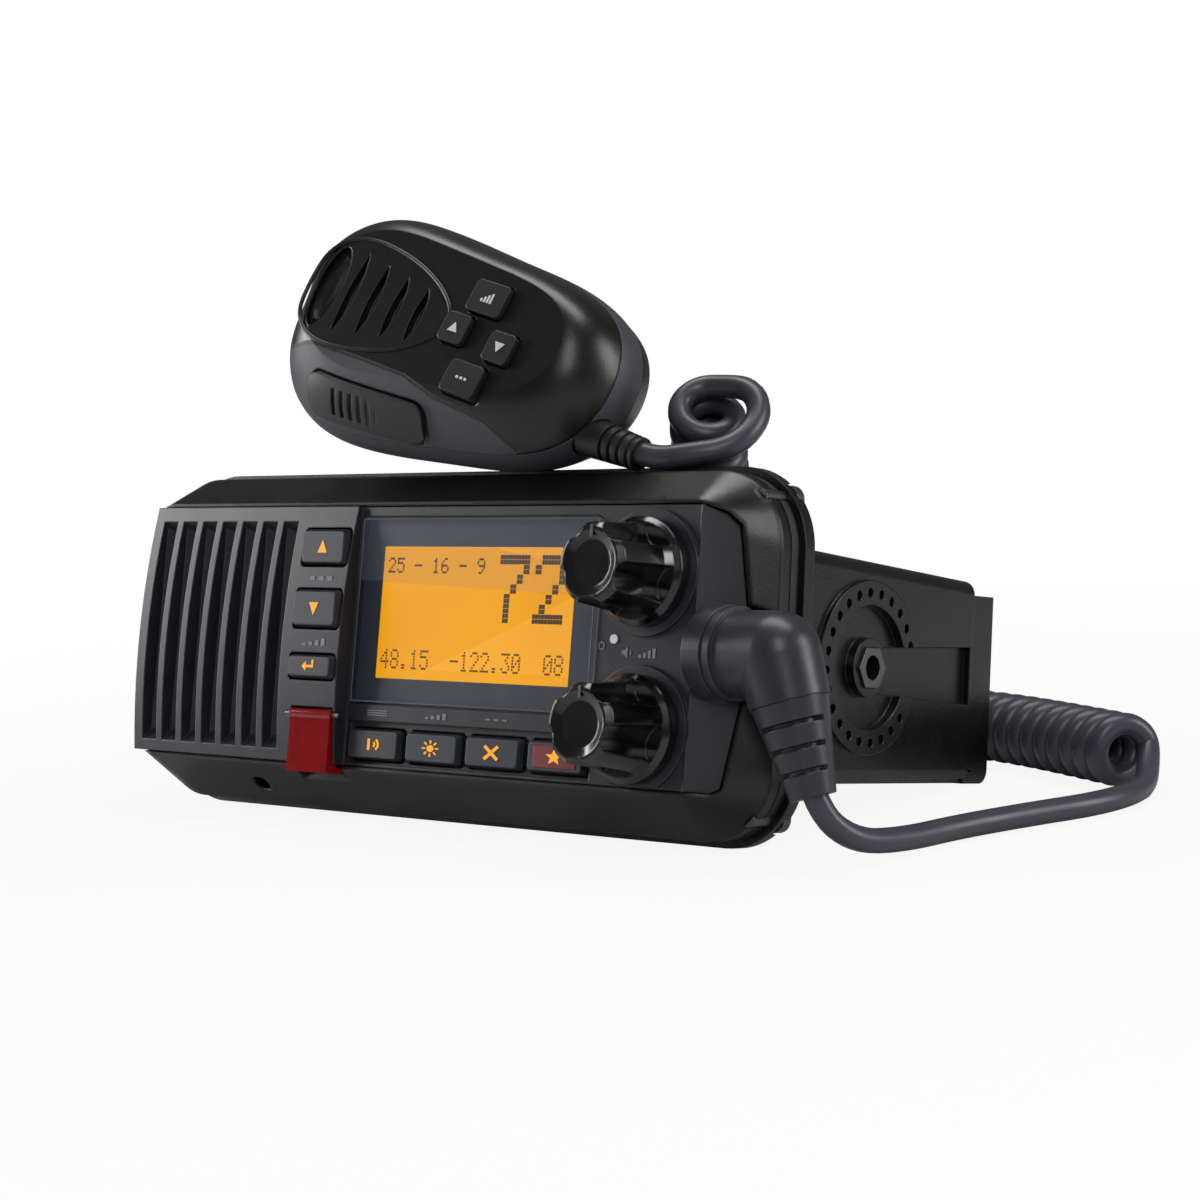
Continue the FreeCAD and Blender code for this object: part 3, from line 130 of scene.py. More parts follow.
class Graph:
    """Short way to add and join nodes of one material."""

    def __init__(self, name: str) -> None:
        """Start an empty material.

        Args:
            name: Name of the material.
        """
        self.material = bpy.data.materials.new(name)
        self.material.use_nodes = True
        self.tree = self.material.node_tree
        self.tree.nodes.clear()
        self.out = self.tree.nodes.new("ShaderNodeOutputMaterial")

    def feed(self, socket: bpy.types.NodeSocket, value: object) -> None:
        """Link a socket to another one, or set its value.

        Args:
            socket: Input to fill.
            value: Output socket or plain value.
        """
        if isinstance(value, bpy.types.NodeSocket):
            self.tree.links.new(value, socket)
        else:
            socket.default_value = value

    def node(self, kind: str, **values: object) -> bpy.types.Node:
        """Add a node and set its sockets and properties.

        Args:
            kind: Node type without its ShaderNode prefix.
            values: Properties, or sockets written with underscores for spaces.

        Returns:
            The new node.
        """
        item = self.tree.nodes.new("ShaderNode" + kind)
        for key, value in values.items():
            socket = item.inputs.get(key.replace("_", " "))
            if socket is None:
                setattr(item, key, value)
            else:
                self.feed(socket, value)
        return item

    def coords(self) -> bpy.types.NodeSocket:
        """Return the object's own coordinates."""
        return self.node("TexCoord").outputs["Object"]

    def noise(self, scale: float, detail: float = 2.0, rough: float = 0.5) -> bpy.types.NodeSocket:
        """Return a noise value on object coordinates."""
        item = self.node("TexNoise", Vector=self.coords(), Scale=scale, Detail=detail, Roughness=rough)
        return item.outputs["Fac"]

    def spread(self, value: bpy.types.NodeSocket, low: float, high: float) -> bpy.types.NodeSocket:
        """Map a zero to one value to a narrow band."""
        item = self.node("MapRange", Value=value, To_Min=low, To_Max=high)
        return item.outputs["Result"]

    def tint(self, value: bpy.types.NodeSocket, first: tuple, second: tuple) -> bpy.types.NodeSocket:
        """Spread two colours over the middle of a value's range.

        Args:
            value: Pattern from zero to one.
            first: Colour where it is low.
            second: Colour where it is high.

        Returns:
            The mixed colour.
        """
        item = self.node("ValToRGB", Fac=value)
        for mark, colour, place in zip(item.color_ramp.elements, (first, second), (0.3, 0.7)):
            mark.color = (*colour, 1.0)
            mark.position = place
        return item.outputs["Color"]

    def math(self, operation: str, first: object, second: object) -> bpy.types.NodeSocket:
        """Work out a value from two.

        Args:
            operation: Name of the operation.
            first: Socket or number.
            second: Socket or number.

        Returns:
            The result.
        """
        item = self.node("Math", operation=operation)
        self.feed(item.inputs[0], first)
        self.feed(item.inputs[1], second)
        return item.outputs[0]

    def along(self, axis: Vector, datum: Vector) -> bpy.types.NodeSocket:
        """Measure along an axis.

        Args:
            axis: Unit axis.
            datum: Place that counts as zero, in metres.

        Returns:
            The distance from the datum in millimetres.
        """
        dot = self.node("VectorMath", operation="DOT_PRODUCT")
        self.feed(dot.inputs[0], self.coords())
        self.feed(dot.inputs[1], axis / MM)
        return self.math("SUBTRACT", dot.outputs["Value"], axis.dot(datum) / MM)

    def below(self, across: bpy.types.NodeSocket, height: bpy.types.NodeSocket, line: tuple,
              soft: float = 0.25) -> bpy.types.NodeSocket:
        """Return how far below a bent line a point lies, as zero to one.

        Args:
            across: Distance along the line's X in millimetres.
            height: Distance along its Y in millimetres.
            line: Its corners (x, y) from left to right, each less than 50 mm from the datum.
            soft: Width of the change in millimetres.

        Returns:
            One below the line and zero above it.
        """
        first, span, half = line[0][0], line[-1][0] - line[0][0], 50.0
        place = self.node("MapRange", Value=across, From_Min=first, From_Max=first + span)
        ramp = self.node("ValToRGB", Fac=place.outputs["Result"])
        marks = ramp.color_ramp.elements
        while len(marks) < len(line):
            marks.new(0.5)
        for mark, (x, y) in zip(marks, line):
            mark.position = (x - first) / span
            grey = (y + half) / (2 * half)
            mark.color = (grey, grey, grey, 1.0)
        level = self.math("SUBTRACT", self.math("MULTIPLY", ramp.outputs["Color"], 2 * half), half)
        gap = self.math("SUBTRACT", level, height)
        step = self.node("MapRange", Value=gap, From_Min=-soft / 2, From_Max=soft / 2)
        return step.outputs["Result"]

    def blend(self, share: bpy.types.NodeSocket, first: object, second: object) -> bpy.types.NodeSocket:
        """Mix two colours by a share.

        Args:
            share: Share of the second colour.
            first: Socket or colour.
            second: Socket or colour.

        Returns:
            The mixed colour.
        """
        item = self.node("Mix", data_type="RGBA")
        self.feed(item.inputs[0], share)
        for socket, value in zip(item.inputs[6:8], (first, second)):
            self.feed(socket, (*value, 1.0) if isinstance(value, tuple) else value)
        return item.outputs[2]

    def bump(self, height: bpy.types.NodeSocket, strength: float, depth: float,
             radius: float = 0.0) -> bpy.types.NodeSocket:
        """Raise a relief on edges that are rounded.

        Args:
            height: Relief from zero to one.
            strength: How strongly it shows.
            depth: Its depth in metres.
            radius: Radius of the edges in metres, or zero for sharp ones.

        Returns:
            The normal.
        """
        item = self.node("Bump", Height=height, Strength=strength, Distance=depth)
        if radius > 0:
            bevel = self.node("Bevel", samples=6, Radius=radius)
            self.feed(item.inputs["Normal"], bevel.outputs["Normal"])
        return item.outputs["Normal"]

    def finish(self, shader: bpy.types.Node) -> bpy.types.Material:
        """Join a shader to the output and return the material."""
        self.feed(self.out.inputs["Surface"], shader.outputs[0])
        return self.material


@dataclass(frozen=True)
class Moulding:
    """Moulded plastic, rubber or painted casting with a fine grain."""

    name: str
    dark: tuple
    light: tuple
    rough: float = 0.45
    grain: float = 2600.0
    depth: float = 0.00006
    strength: float = 0.25
    edge: float = 0.0004
    coat: float = 0.0

    def material(self) -> bpy.types.Material:
        """Build the finish.

        Returns:
            Its material.
        """
        graph = Graph(self.name)
        cloud = graph.noise(CLOUD, 3.0)
        grain = graph.noise(self.grain, 2.0, 0.6)
        colour = graph.tint(cloud, self.dark, self.light)
        rough = graph.spread(graph.noise(SHEEN), self.rough - 0.06, self.rough + 0.07)
        normal = graph.bump(grain, self.strength, self.depth, self.edge)
        shader = graph.node("BsdfPrincipled", Base_Color=colour, Roughness=rough, Normal=normal,
                            Coat_Weight=self.coat, Coat_Roughness=COAT_ROUGH)
        return graph.finish(shader)


@dataclass(frozen=True)
class TwoShot:
    """Hard black moulding with a soft grey grip moulded over its lower flank."""

    name: str
    hard: tuple
    soft: tuple
    line: tuple
    seam: float = 0.7
    rough: tuple = (0.28, 0.36)
    softer: float = 0.2
    edge: float = 0.0006

    def material(self, place: Plane) -> bpy.types.Material:
        """Build the finish on a microphone's axes.

        Args:
            place: Plane that the grip's line is drawn on.

        Returns:
            Its material.
        """
        graph = Graph(self.name)
        across = graph.along(place.right, place.datum)
        height = graph.along(place.up, place.datum)
        grip = graph.below(across, height, self.line)
        inner = graph.below(across, height, tuple((x, y - self.seam) for x, y in self.line))
        seam = graph.math("SUBTRACT", grip, inner)
        cloud = graph.tint(graph.noise(CLOUD), self.soft, tuple(c * 1.2 for c in self.soft))
        colour = graph.blend(grip, self.hard, cloud)
        colour = graph.blend(seam, colour, tuple(c * 0.3 for c in self.hard))
        sheen = graph.spread(graph.noise(SHEEN), *self.rough)
        rough = graph.math("ADD", graph.math("MULTIPLY", grip, self.softer), sheen)
        relief = graph.math("SUBTRACT", graph.noise(2300.0, 2.0, 0.6), graph.math("MULTIPLY", seam, 3.0))
        normal = graph.bump(relief, 0.3, 0.00007, self.edge)
        shader = graph.node("BsdfPrincipled", Base_Color=colour, Roughness=rough, Normal=normal)
        return graph.finish(shader)


@dataclass(frozen=True)
class WindowPane:
    """Clear window with a painted reflection: above a slanting line its tint is paler and its alpha higher.
    """

    name: str
    line: tuple
    soft: float = 0.4
    # pale is the painted reflection's tint above the line; deep is the plain window tint below it
    pale: tuple = (0.20, 0.23, 0.30)
    deep: tuple = (0.02, 0.025, 0.035)
    alpha: tuple = (0.16, 0.07)

    def material(self, place: Plane) -> bpy.types.Material:
        """Build the finish on the face's axes.

        Args:
            place: Plane that the reflection's edge is drawn on.

        Returns:
            Its material.
        """
        graph = Graph(self.name)
        across = graph.along(place.right, place.datum)
        height = graph.along(place.up, place.datum)
        # Painted reflection: pale tint and higher alpha above the line, deep tint and lower alpha below it
        shade = graph.below(across, height, self.line, self.soft)
        alpha = graph.spread(shade, *self.alpha)
        rough = graph.spread(graph.noise(WIPE, 4.0), 0.04, 0.09)
        tint = graph.blend(shade, self.pale, self.deep)
        normal = graph.bump(graph.noise(WAVES), 0.05, 0.0001)
        shader = graph.node("BsdfPrincipled", Base_Color=tint, Roughness=rough, Normal=normal, Alpha=alpha)
        return graph.finish(shader)


@dataclass(frozen=True)
class Glazing:
    """Clear tinted plastic or glass with faint waviness and wipe marks."""

    name: str
    colour: tuple
    alpha: float
    rough: float = 0.06

    def material(self) -> bpy.types.Material:
        """Build the finish.

        Returns:
            Its material.
        """
        graph = Graph(self.name)
        marks = graph.noise(WIPE, 4.0)
        rough = graph.spread(marks, self.rough, self.rough + 0.05)
        normal = graph.bump(graph.noise(WAVES), 0.08, 0.0002)
        tint = graph.tint(marks, self.colour, tuple(min(1.0, c * 1.12) for c in self.colour))
        shader = graph.node("BsdfPrincipled", Base_Color=tint, Roughness=rough, Normal=normal,
                            Alpha=self.alpha, Coat_Weight=0.6, Coat_Roughness=0.03)
        return graph.finish(shader)


@dataclass(frozen=True)
class Glow:
    """Backlit picture or legend whose light falls off unevenly."""

    name: str
    dim: tuple
    bright: tuple
    strength: float = 1.0
    base: tuple = (0.05, 0.03, 0.01)

    def material(self) -> bpy.types.Material:
        """Build the finish.

        Returns:
            Its material.
        """
        graph = Graph(self.name)
        cloud = graph.noise(28.0, 1.0)
        colour = graph.tint(cloud, self.dim, self.bright)
        rough = graph.spread(graph.noise(300.0), 0.35, 0.5)
        shader = graph.node("BsdfPrincipled", Base_Color=(*self.base, 1.0), Roughness=rough,
                            Emission_Color=colour, Emission_Strength=self.strength)
        return graph.finish(shader)


@dataclass(frozen=True)
class Metal:
    """Turned or plated metal with fine scratches."""

    name: str
    colour: tuple
    rough: float = 0.3

    def material(self) -> bpy.types.Material:
        """Build the finish.

        Returns:
            Its material.
        """
        graph = Graph(self.name)
        scratch = graph.noise(900.0, 5.0, 0.7)
        tint = graph.tint(scratch, tuple(c * 0.85 for c in self.colour), self.colour)
        rough = graph.spread(scratch, self.rough - 0.08, self.rough + 0.12)
        normal = graph.bump(scratch, 0.2, 0.00004, 0.0002)
        shader = graph.node("BsdfPrincipled", Base_Color=tint, Roughness=rough, Metallic=1.0,
                            Normal=normal)
        return graph.finish(shader)


@dataclass(frozen=True)
class Board:
    """Printed board with copper tracks under green resist."""

    name: str
    resist: tuple = (0.01, 0.09, 0.035)

    def material(self) -> bpy.types.Material:
        """Build the finish.

        Returns:
            Its material.
        """
        graph = Graph(self.name)
        cells = graph.node("TexVoronoi", Vector=graph.coords(), Scale=260.0, feature="DISTANCE_TO_EDGE")
        track = graph.node("MapRange", Value=cells.outputs["Distance"], From_Max=0.12)
        tint = graph.tint(track.outputs["Result"], (0.05, 0.2, 0.08), self.resist)
        normal = graph.bump(track.outputs["Result"], 0.3, 0.00008)
        shader = graph.node("BsdfPrincipled", Base_Color=tint, Roughness=0.35, Normal=normal)
        return graph.finish(shader)


class Face(Plane):
    """The radio's tilted front face, read from the volume knob's joint."""

    def __init__(self) -> None:
        """Find the face's axes and datum in the frame."""
        joint = next(j for j in frame["joints"] if j["name"] == "volume_turn")
        self.out = -Vector(joint["axis"]).normalized()
        self.right = Vector((1.0, 0.0, 0.0))
        self.up = self.out.cross(self.right).normalized()
        centre = Vector(joint["pos_m"])
        self.datum = centre - self.right * FACE_KNOB_X * MM - self.up * FACE_KNOB_UP * MM

    @staticmethod
    def bow(up: float) -> float:
        """Work out how far the grille part stands out.

        Args:
            up: Height up the face in millimetres.

        Returns:
            The distance in millimetres, on the parabola through the places in BOW.
        """
        total = 0.0
        for place, depth in BOW:
            share = 1.0
            for other in (height for height, _ in BOW if height != place):
                share *= (up - other) / (place - other)
            total += depth * share
        return total


class MicFace(Plane):
    """The microphone's front, read from the axes of its key and bar joints."""

    def __init__(self) -> None:
        """Find the microphone's axes and middle in the frame."""
        joints = {j["name"]: j for j in frame["joints"]}
        self.out = -Vector(joints["mic_upper_key_press"]["axis"]).normalized()
        press = Vector(joints["push_to_talk_press"]["axis"])
        self.up = (press - self.out * press.dot(self.out)).normalized()
        self.right = self.up.cross(self.out).normalized()
        low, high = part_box("mic_board")
        self.datum = (low + high) / 2 - self.out * MIC_BOARD_UP * MM


def add_object(name: str, data: bpy.types.ID) -> bpy.types.Object:
    """Add an object to the scene.

    Args:
        name: Its name.
        data: Mesh, curve, lamp or camera that it holds.

    Returns:
        The object.
    """
    item = bpy.data.objects.new(name, data)
    bpy.context.scene.collection.objects.link(item)
    return item


def plain_mesh(carrier: bpy.types.Object) -> bpy.types.Mesh:
    """Return the mesh that an object's modifiers or round section give."""
    graph = bpy.context.evaluated_depsgraph_get()
    return bpy.data.meshes.new_from_object(carrier.evaluated_get(graph))


def round_line(name: str, points: list, radius: float, steps: int = LINE_STEPS, sides: int = 5,
               closed: bool = False) -> bpy.types.Object:
    """Make a curve of one smooth spline with a round section.

    Args:
        name: Name of the curve.
        points: Control points in metres.
        radius: Radius of the section in metres, or zero for the bare line.
        steps: Steps from one control point to the next.
        sides: Steps round half of the section.
        closed: Whether it runs back to its start.

    Returns:
        The curve object.
    """
    data = bpy.data.curves.new(name, "CURVE")
    data.dimensions = "3D"
    data.resolution_u = steps
    data.bevel_depth = radius
    data.bevel_resolution = sides
    data.use_fill_caps = radius > 0 and not closed
    line = data.splines.new("NURBS")
    line.points.add(len(points) - 1)
    for target, point in zip(line.points, points):
        target.co = (*point, 1.0)
    line.order_u = 3
    line.use_cyclic_u = closed
    line.use_endpoint_u = not closed
    return add_object(name, data)


def smooth_piece(name: str, mesh: bpy.types.Mesh, material: bpy.types.Material) -> bpy.types.Object:
    """Make a smooth piece of one finish.

    Args:
        name: Name of the piece and its mesh.
        mesh: Its mesh.
        material: Its finish.

    Returns:
        The piece.
    """
    mesh.name = name
    mesh.materials.clear()
    mesh.materials.append(material)
    mesh.polygons.foreach_set("use_smooth", [True] * len(mesh.polygons))
    return add_object(name, mesh)


def mesh_piece(name: str, vertices: list, faces: list, material: bpy.types.Material,
               body: str) -> bpy.types.Object:
    """Make a mesh piece, in metres in the frame, that rides on a body.

    Args:
        name: Name of the piece.
        vertices: Points.
        faces: Corner indices.
        material: Its finish.
        body: Body it rides on.

    Returns:
        The piece.
    """
    mesh = bpy.data.meshes.new(name)
    mesh.from_pydata([tuple(v) for v in vertices], [], faces)
    builder = bmesh.new()
    builder.from_mesh(mesh)
    bmesh.ops.recalc_face_normals(builder, faces=builder.faces)
    builder.to_mesh(mesh)
    builder.free()
    mesh.polygons.foreach_set("use_smooth", [False] * len(mesh.polygons))
    mesh.materials.append(material)
    piece = add_object(name, mesh)
    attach(piece, body)
    LOG.info("piece %s on %s", name, body)
    return piece


def prism(outline: list, low: float, high: float, matrix: Matrix, vertices: list, faces: list) -> None:
    """Add a flat prism to a growing mesh.

    Args:
        outline: Corners (x, y) in millimetres.
        low: Height of its foot in millimetres.
        high: Height of its top in millimetres.
        matrix: Placing in the frame.
        vertices: Points gathered so far.
        faces: Faces gathered so far.
    """
    start, count = len(vertices), len(outline)
    for height in (low, high):
        vertices += [matrix @ Vector((x * MM, y * MM, height * MM)) for x, y in outline]
    faces.append(tuple(range(start + count - 1, start - 1, -1)))
    faces.append(tuple(range(start + count, start + 2 * count)))
    for k in range(count):
        after = (k + 1) % count
        faces.append((start + k, start + after, start + count + after, start + count + k))


def bar(x0: float, x1: float, y0: float, y1: float) -> list:
    """Return a rectangle's corners."""
    return [(x0, y0), (x1, y0), (x1, y1), (x0, y1)]


def ring_parts(radius: float, width: float, start: float, sweep: float, steps: int = 10) -> list:
    """Cut an arc band into short quads.

    Args:
        radius: Outer radius.
        width: Width of the band.
        start: Angle of its start in degrees.
        sweep: Angle that it covers in degrees.
        steps: Number of quads.

    Returns:
        The quads' outlines.
    """
    parts = []
    for k in range(steps):
        a, b = (math.radians(start + sweep * (k + d) / steps) for d in (0, 1))
        parts.append([(math.cos(t) * r, math.sin(t) * r)
                      for t, r in ((a, radius - width), (a, radius), (b, radius), (b, radius - width))])
    return parts


# Outlines of each sign, in a box from -1 to 1
SIGNS = {
    Sign.UP: [[(-0.8, -0.7), (0.8, -0.7), (0.0, 0.8)]],
    Sign.DOWN: [[(-0.8, 0.7), (0.0, -0.8), (0.8, 0.7)]],
    Sign.RETURN: [bar(-0.5, 0.9, -0.15, 0.15), bar(0.62, 0.9, -0.15, 0.8),
               [(-1.1, 0.0), (-0.4, -0.55), (-0.4, 0.55)]],
    Sign.WAVE: ring_parts(0.9, 0.24, -50, 100) + ring_parts(0.45, 0.24, -50, 100)
    + [bar(-0.55, -0.25, -0.7, 0.7)],
    Sign.SUN: ring_parts(0.42, 0.42, 0, 360, 12)
    + [[(math.cos(t + d) * r, math.sin(t + d) * r) for d, r in
        ((-0.14, 0.6), (-0.1, 1.0), (0.1, 1.0), (0.14, 0.6))] for t in
       [math.pi / 4 * k for k in range(8)]],
    Sign.CROSS: [[(-0.9, -0.65), (-0.65, -0.9), (0.9, 0.65), (0.65, 0.9)],
              [(-0.9, 0.65), (0.65, -0.9), (0.9, -0.65), (-0.65, 0.9)]],
    Sign.STAR: [[(math.cos(math.pi / 2 + math.pi / 5 * k) * (1.0 if k % 2 == 0 else 0.42),
               math.sin(math.pi / 2 + math.pi / 5 * k) * (1.0 if k % 2 == 0 else 0.42))
              for k in range(10)]],
    Sign.LINES: [bar(-0.9, 0.9, y - 0.13, y + 0.13) for y in (-0.6, 0.0, 0.6)],
    Sign.DOTS: [bar(x - 0.2, x + 0.2, -0.2, 0.2) for x in (-0.7, 0.0, 0.7)],
    Sign.BARS: [bar(-0.9 + 0.5 * k, -0.6 + 0.5 * k, -0.8, -0.3 + 0.36 * k) for k in range(4)],
    Sign.RING: ring_parts(0.8, 0.25, 0, 360, 16),
    Sign.SPEAKER: [bar(-0.9, -0.5, -0.3, 0.3), [(-0.5, -0.3), (0.0, -0.8), (0.0, 0.8), (-0.5, 0.3)]]
    + ring_parts(0.6, 0.18, -45, 90),
    Sign.GATE: [bar(-0.9, -0.2, -0.6, -0.35), bar(-0.3, -0.05, -0.6, 0.6), bar(-0.2, 0.9, 0.35, 0.6)],
}

# Dots of each digit, row by row from the top
DIGIT_COLUMNS, DIGIT_ROWS = 5, 7
DIGITS = {
    "0": "01110100011001110101110011000101110", "1": "00100011000010000100001000010001110",
    "2": "01110100010000100010001000100011111", "3": "11111000100010000010000011000101110",
    "4": "00010001100101010010111110001000010", "5": "11111100001111000001000011000101110",
    "6": "00110010001000011110100011000101110", "7": "11111000010001000100010000100001000",
    "8": "01110100011000101110100011000101110", "9": "01110100011000101111000010001001100",
    "-": "00000000000000011111000000000000000", ".": "00000000000000000000000000110001100",
    " ": "0" * DIGIT_COLUMNS * DIGIT_ROWS,
}


@dataclass
class Legend:
    """A flat sign on a face."""

    sign: Sign
    x: float
    up: float
    out: float
    wide: float
    high: float


def draw_legends(name: str, items: list, place: Plane, material: bpy.types.Material, body: str) -> None:
    """Print a set of signs as one thin piece.

    Args:
        name: Name of the piece.
        items: Legends to draw.
        place: Plane that gives the placing.
        material: Their finish.
        body: Body they ride on.
    """
    vertices, faces = [], []
    for item in items:
        matrix = place.matrix(item.x, item.up, item.out)
        for outline in SIGNS[item.sign]:
            scaled = [(x * item.wide / 2, y * item.high / 2) for x, y in outline]
            prism(scaled, PRINT_FOOT, PRINT_TOP, matrix, vertices, faces)
    mesh_piece(name, vertices, faces, material, body)


class DotTree:
    """Geometry node tree that puts a small block on each point of a mesh."""

    def __init__(self) -> None:
        """Build the tree with its named inputs."""
        tree = bpy.data.node_groups.new("dot_blocks", "GeometryNodeTree")
        tree.interface.new_socket("Geometry", in_out="INPUT", socket_type="NodeSocketGeometry")
        self.size = tree.interface.new_socket("Block size", in_out="INPUT", socket_type="NodeSocketVector")
        self.turn = tree.interface.new_socket("Turn", in_out="INPUT", socket_type="NodeSocketRotation")
        self.finish = tree.interface.new_socket("Finish", in_out="INPUT", socket_type="NodeSocketMaterial")
        tree.interface.new_socket("Geometry", in_out="OUTPUT", socket_type="NodeSocketGeometry")
        source = tree.nodes.new("NodeGroupInput")
        result = tree.nodes.new("NodeGroupOutput")
        points = tree.nodes.new("GeometryNodeMeshToPoints")
        block = tree.nodes.new("GeometryNodeMeshCube")
        instance = tree.nodes.new("GeometryNodeInstanceOnPoints")
        real = tree.nodes.new("GeometryNodeRealizeInstances")
        paint = tree.nodes.new("GeometryNodeSetMaterial")
        link = tree.links.new
        link(source.outputs["Geometry"], points.inputs["Mesh"])
        link(source.outputs["Block size"], block.inputs["Size"])
        link(points.outputs["Points"], instance.inputs["Points"])
        link(block.outputs["Mesh"], instance.inputs["Instance"])
        link(source.outputs["Turn"], instance.inputs["Rotation"])
        link(instance.outputs["Instances"], real.inputs["Geometry"])
        link(real.outputs["Geometry"], paint.inputs["Geometry"])
        link(source.outputs["Finish"], paint.inputs["Material"])
        link(paint.outputs["Geometry"], result.inputs["Geometry"])
        self.tree = tree

    def blocks(self, name: str, points: list, size: tuple, axes: Matrix,
               material: bpy.types.Material, body: str, slot: str) -> bpy.types.Object:
        """Turn points into one plain mesh of blocks.

        Args:
            name: Name of the piece.
            points: Places in metres.
            size: Block size in millimetres.
            axes: Turn of each block.
            material: Finish.
            body: Body it rides on.
            slot: Not used.

        Returns:
            The piece.
        """
        seed = bpy.data.meshes.new(name + "_points")
        seed.from_pydata([tuple(p) for p in points], [], [])
        carrier = add_object(name + "_carrier", seed)
        modifier = carrier.modifiers.new("blocks", "NODES")
        modifier.node_group = self.tree
        modifier[self.size.identifier] = tuple(s * MM for s in size)
        modifier[self.turn.identifier] = tuple(axes.to_euler())
        modifier[self.finish.identifier] = material
        mesh = plain_mesh(carrier)
        bpy.data.objects.remove(carrier)
        mesh.name = name
        if not mesh.materials:
            mesh.materials.append(material)
        piece = add_object(name, mesh)
        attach(piece, body)
        LOG.info("piece %s: %d blocks", name, len(points))
        return piece


def dress(finish: bpy.types.Material, *nodes: str) -> None:
    """Give CAD nodes a finish.

    Args:
        finish: The finish's material.
        nodes: Names of the nodes.
    """
    for name in nodes:
        item = frame["nodes"][name]
        if not item.material_slots:
            item.data.materials.append(finish)
        for slot in item.material_slots:
            slot.material = finish
        LOG.info("finish %s on %s", finish.name, name)


@dataclass
class Display:
    """Dot-matrix picture, its printed border and the window over them."""

    face: Face
    dots: DotTree
    ink: Moulding = Moulding("display_ink", (0.045, 0.016, 0.0), (0.06, 0.022, 0.0), 0.4, edge=0.0)
    glow: Glow = Glow("amber_backlight", (0.90, 0.365, 0.0), (0.96, 0.41, 0.0), 1.0, (0.0, 0.0, 0.0))
    # The window carries a painted reflection above this slanting line
    pane: WindowPane = WindowPane("window_painted_reflection", ((-19.0, 39.2), (49.0, 36.6)))
    border: Moulding = Moulding("window_border_print", (0.036, 0.043, 0.062), (0.044, 0.052, 0.074),
                                0.35, edge=0.0)
    rim: Moulding = Moulding("window_rim_edge", (0.10, 0.11, 0.14), (0.14, 0.15, 0.18), 0.2)
    glass: tuple = (-17.3, 47.7, 13.5, 52.1)
    lit: tuple = (-11.9, 41.1, 18.7, 46.3)
    border_low: float = 0.02
    border_high: float = 0.07
    rim_wide: float = 0.35
    rim_low: float = 1.55
    rim_high: float = 1.66
    dot_lift: float = 0.05
    big_pitch: tuple = (0.80, 0.99)
    big_dot: tuple = (0.72, 0.9, 0.06)
    head_pitch: tuple = (0.42, 0.46)
    foot_pitch: tuple = (0.47, 0.60)
    small_dot: tuple = (0.37, 0.42, 0.06)

    def text_points(self, text: str, x: float, up: float, pitch: tuple, double: int = 1) -> list:
        """Return the dot places of a line of digits.

        Args:
            text: Digits.
            x: Left edge in millimetres.
            up: Lower edge in millimetres.
            pitch: Dot pitches along and up.
            double: How many dots stand for one dot of the letter, each way.

        Returns:
            Places in metres.
        """
        points = []
        for place, mark in enumerate(text):
            for k, bit in enumerate(DIGITS[mark]):
                if bit == "0":
                    continue
                column, row = k % DIGIT_COLUMNS, DIGIT_ROWS - 1 - k // DIGIT_COLUMNS
                for i in range(double * double):
                    along = (place * (DIGIT_COLUMNS + 1) + column) * double + i % double
                    rise = row * double + i // double
                    points.append(self.face.point(x + along * pitch[0], up + rise * pitch[1],
                                                  DISPLAY_TOP + self.dot_lift))
        return points

    def flat_frame(self, name: str, finish: Moulding, hole: tuple, low: float, high: float) -> None:
        """Lay a flat frame as large as the glass.

        Args:
            name: Name of the piece.
            finish: Its finish.
            hole: Left, right, lower and upper edge of its opening.
            low: Height of its foot over the lit panel.
            high: Height of its top over the lit panel.
        """
        x0, x1, y0, y1 = self.glass
        a0, a1, b0, b1 = hole
        vertices, faces = [], []
        matrix = self.face.matrix(0, 0, DISPLAY_TOP)
        for part in (bar(x0, x1, y0, b0), bar(x0, x1, b1, y1), bar(x0, a0, b0, b1), bar(a1, x1, b0, b1)):
            prism(part, low, high, matrix, vertices, faces)
        mesh_piece(name, vertices, faces, finish.material(), "radio")

    def build(self) -> None:
        """Lay the picture's digits on the lit panel."""
        dress(self.glow.material(), "display_module")
        dress(self.pane.material(self.face), "display_window")
        self.flat_frame("window_border", self.border, self.lit, self.border_low, self.border_high)
        x0, x1, y0, y1 = self.glass
        wide = self.rim_wide
        hole = (x0 + wide, x1 - wide, y0 + wide, y1 - wide)
        self.flat_frame("window_rim", self.rim, hole, self.rim_low, self.rim_high)
        ink = self.ink.material()
        axes = self.face.matrix(0, 0, 0).to_3x3()
        big = self.text_points("72", 21.2, 31.4, self.big_pitch, 2)
        self.dots.blocks("display_big_digits", big, self.big_dot, axes, ink, "radio", "display")
        rows = self.text_points("25 - 16 - 9", -10.4, 41.0, self.head_pitch)
        rows += self.text_points("48.15  -122.30  08", -10.6, 21.0, self.foot_pitch)
        self.dots.blocks("display_small_rows", rows, self.small_dot, axes, ink, "radio", "display")


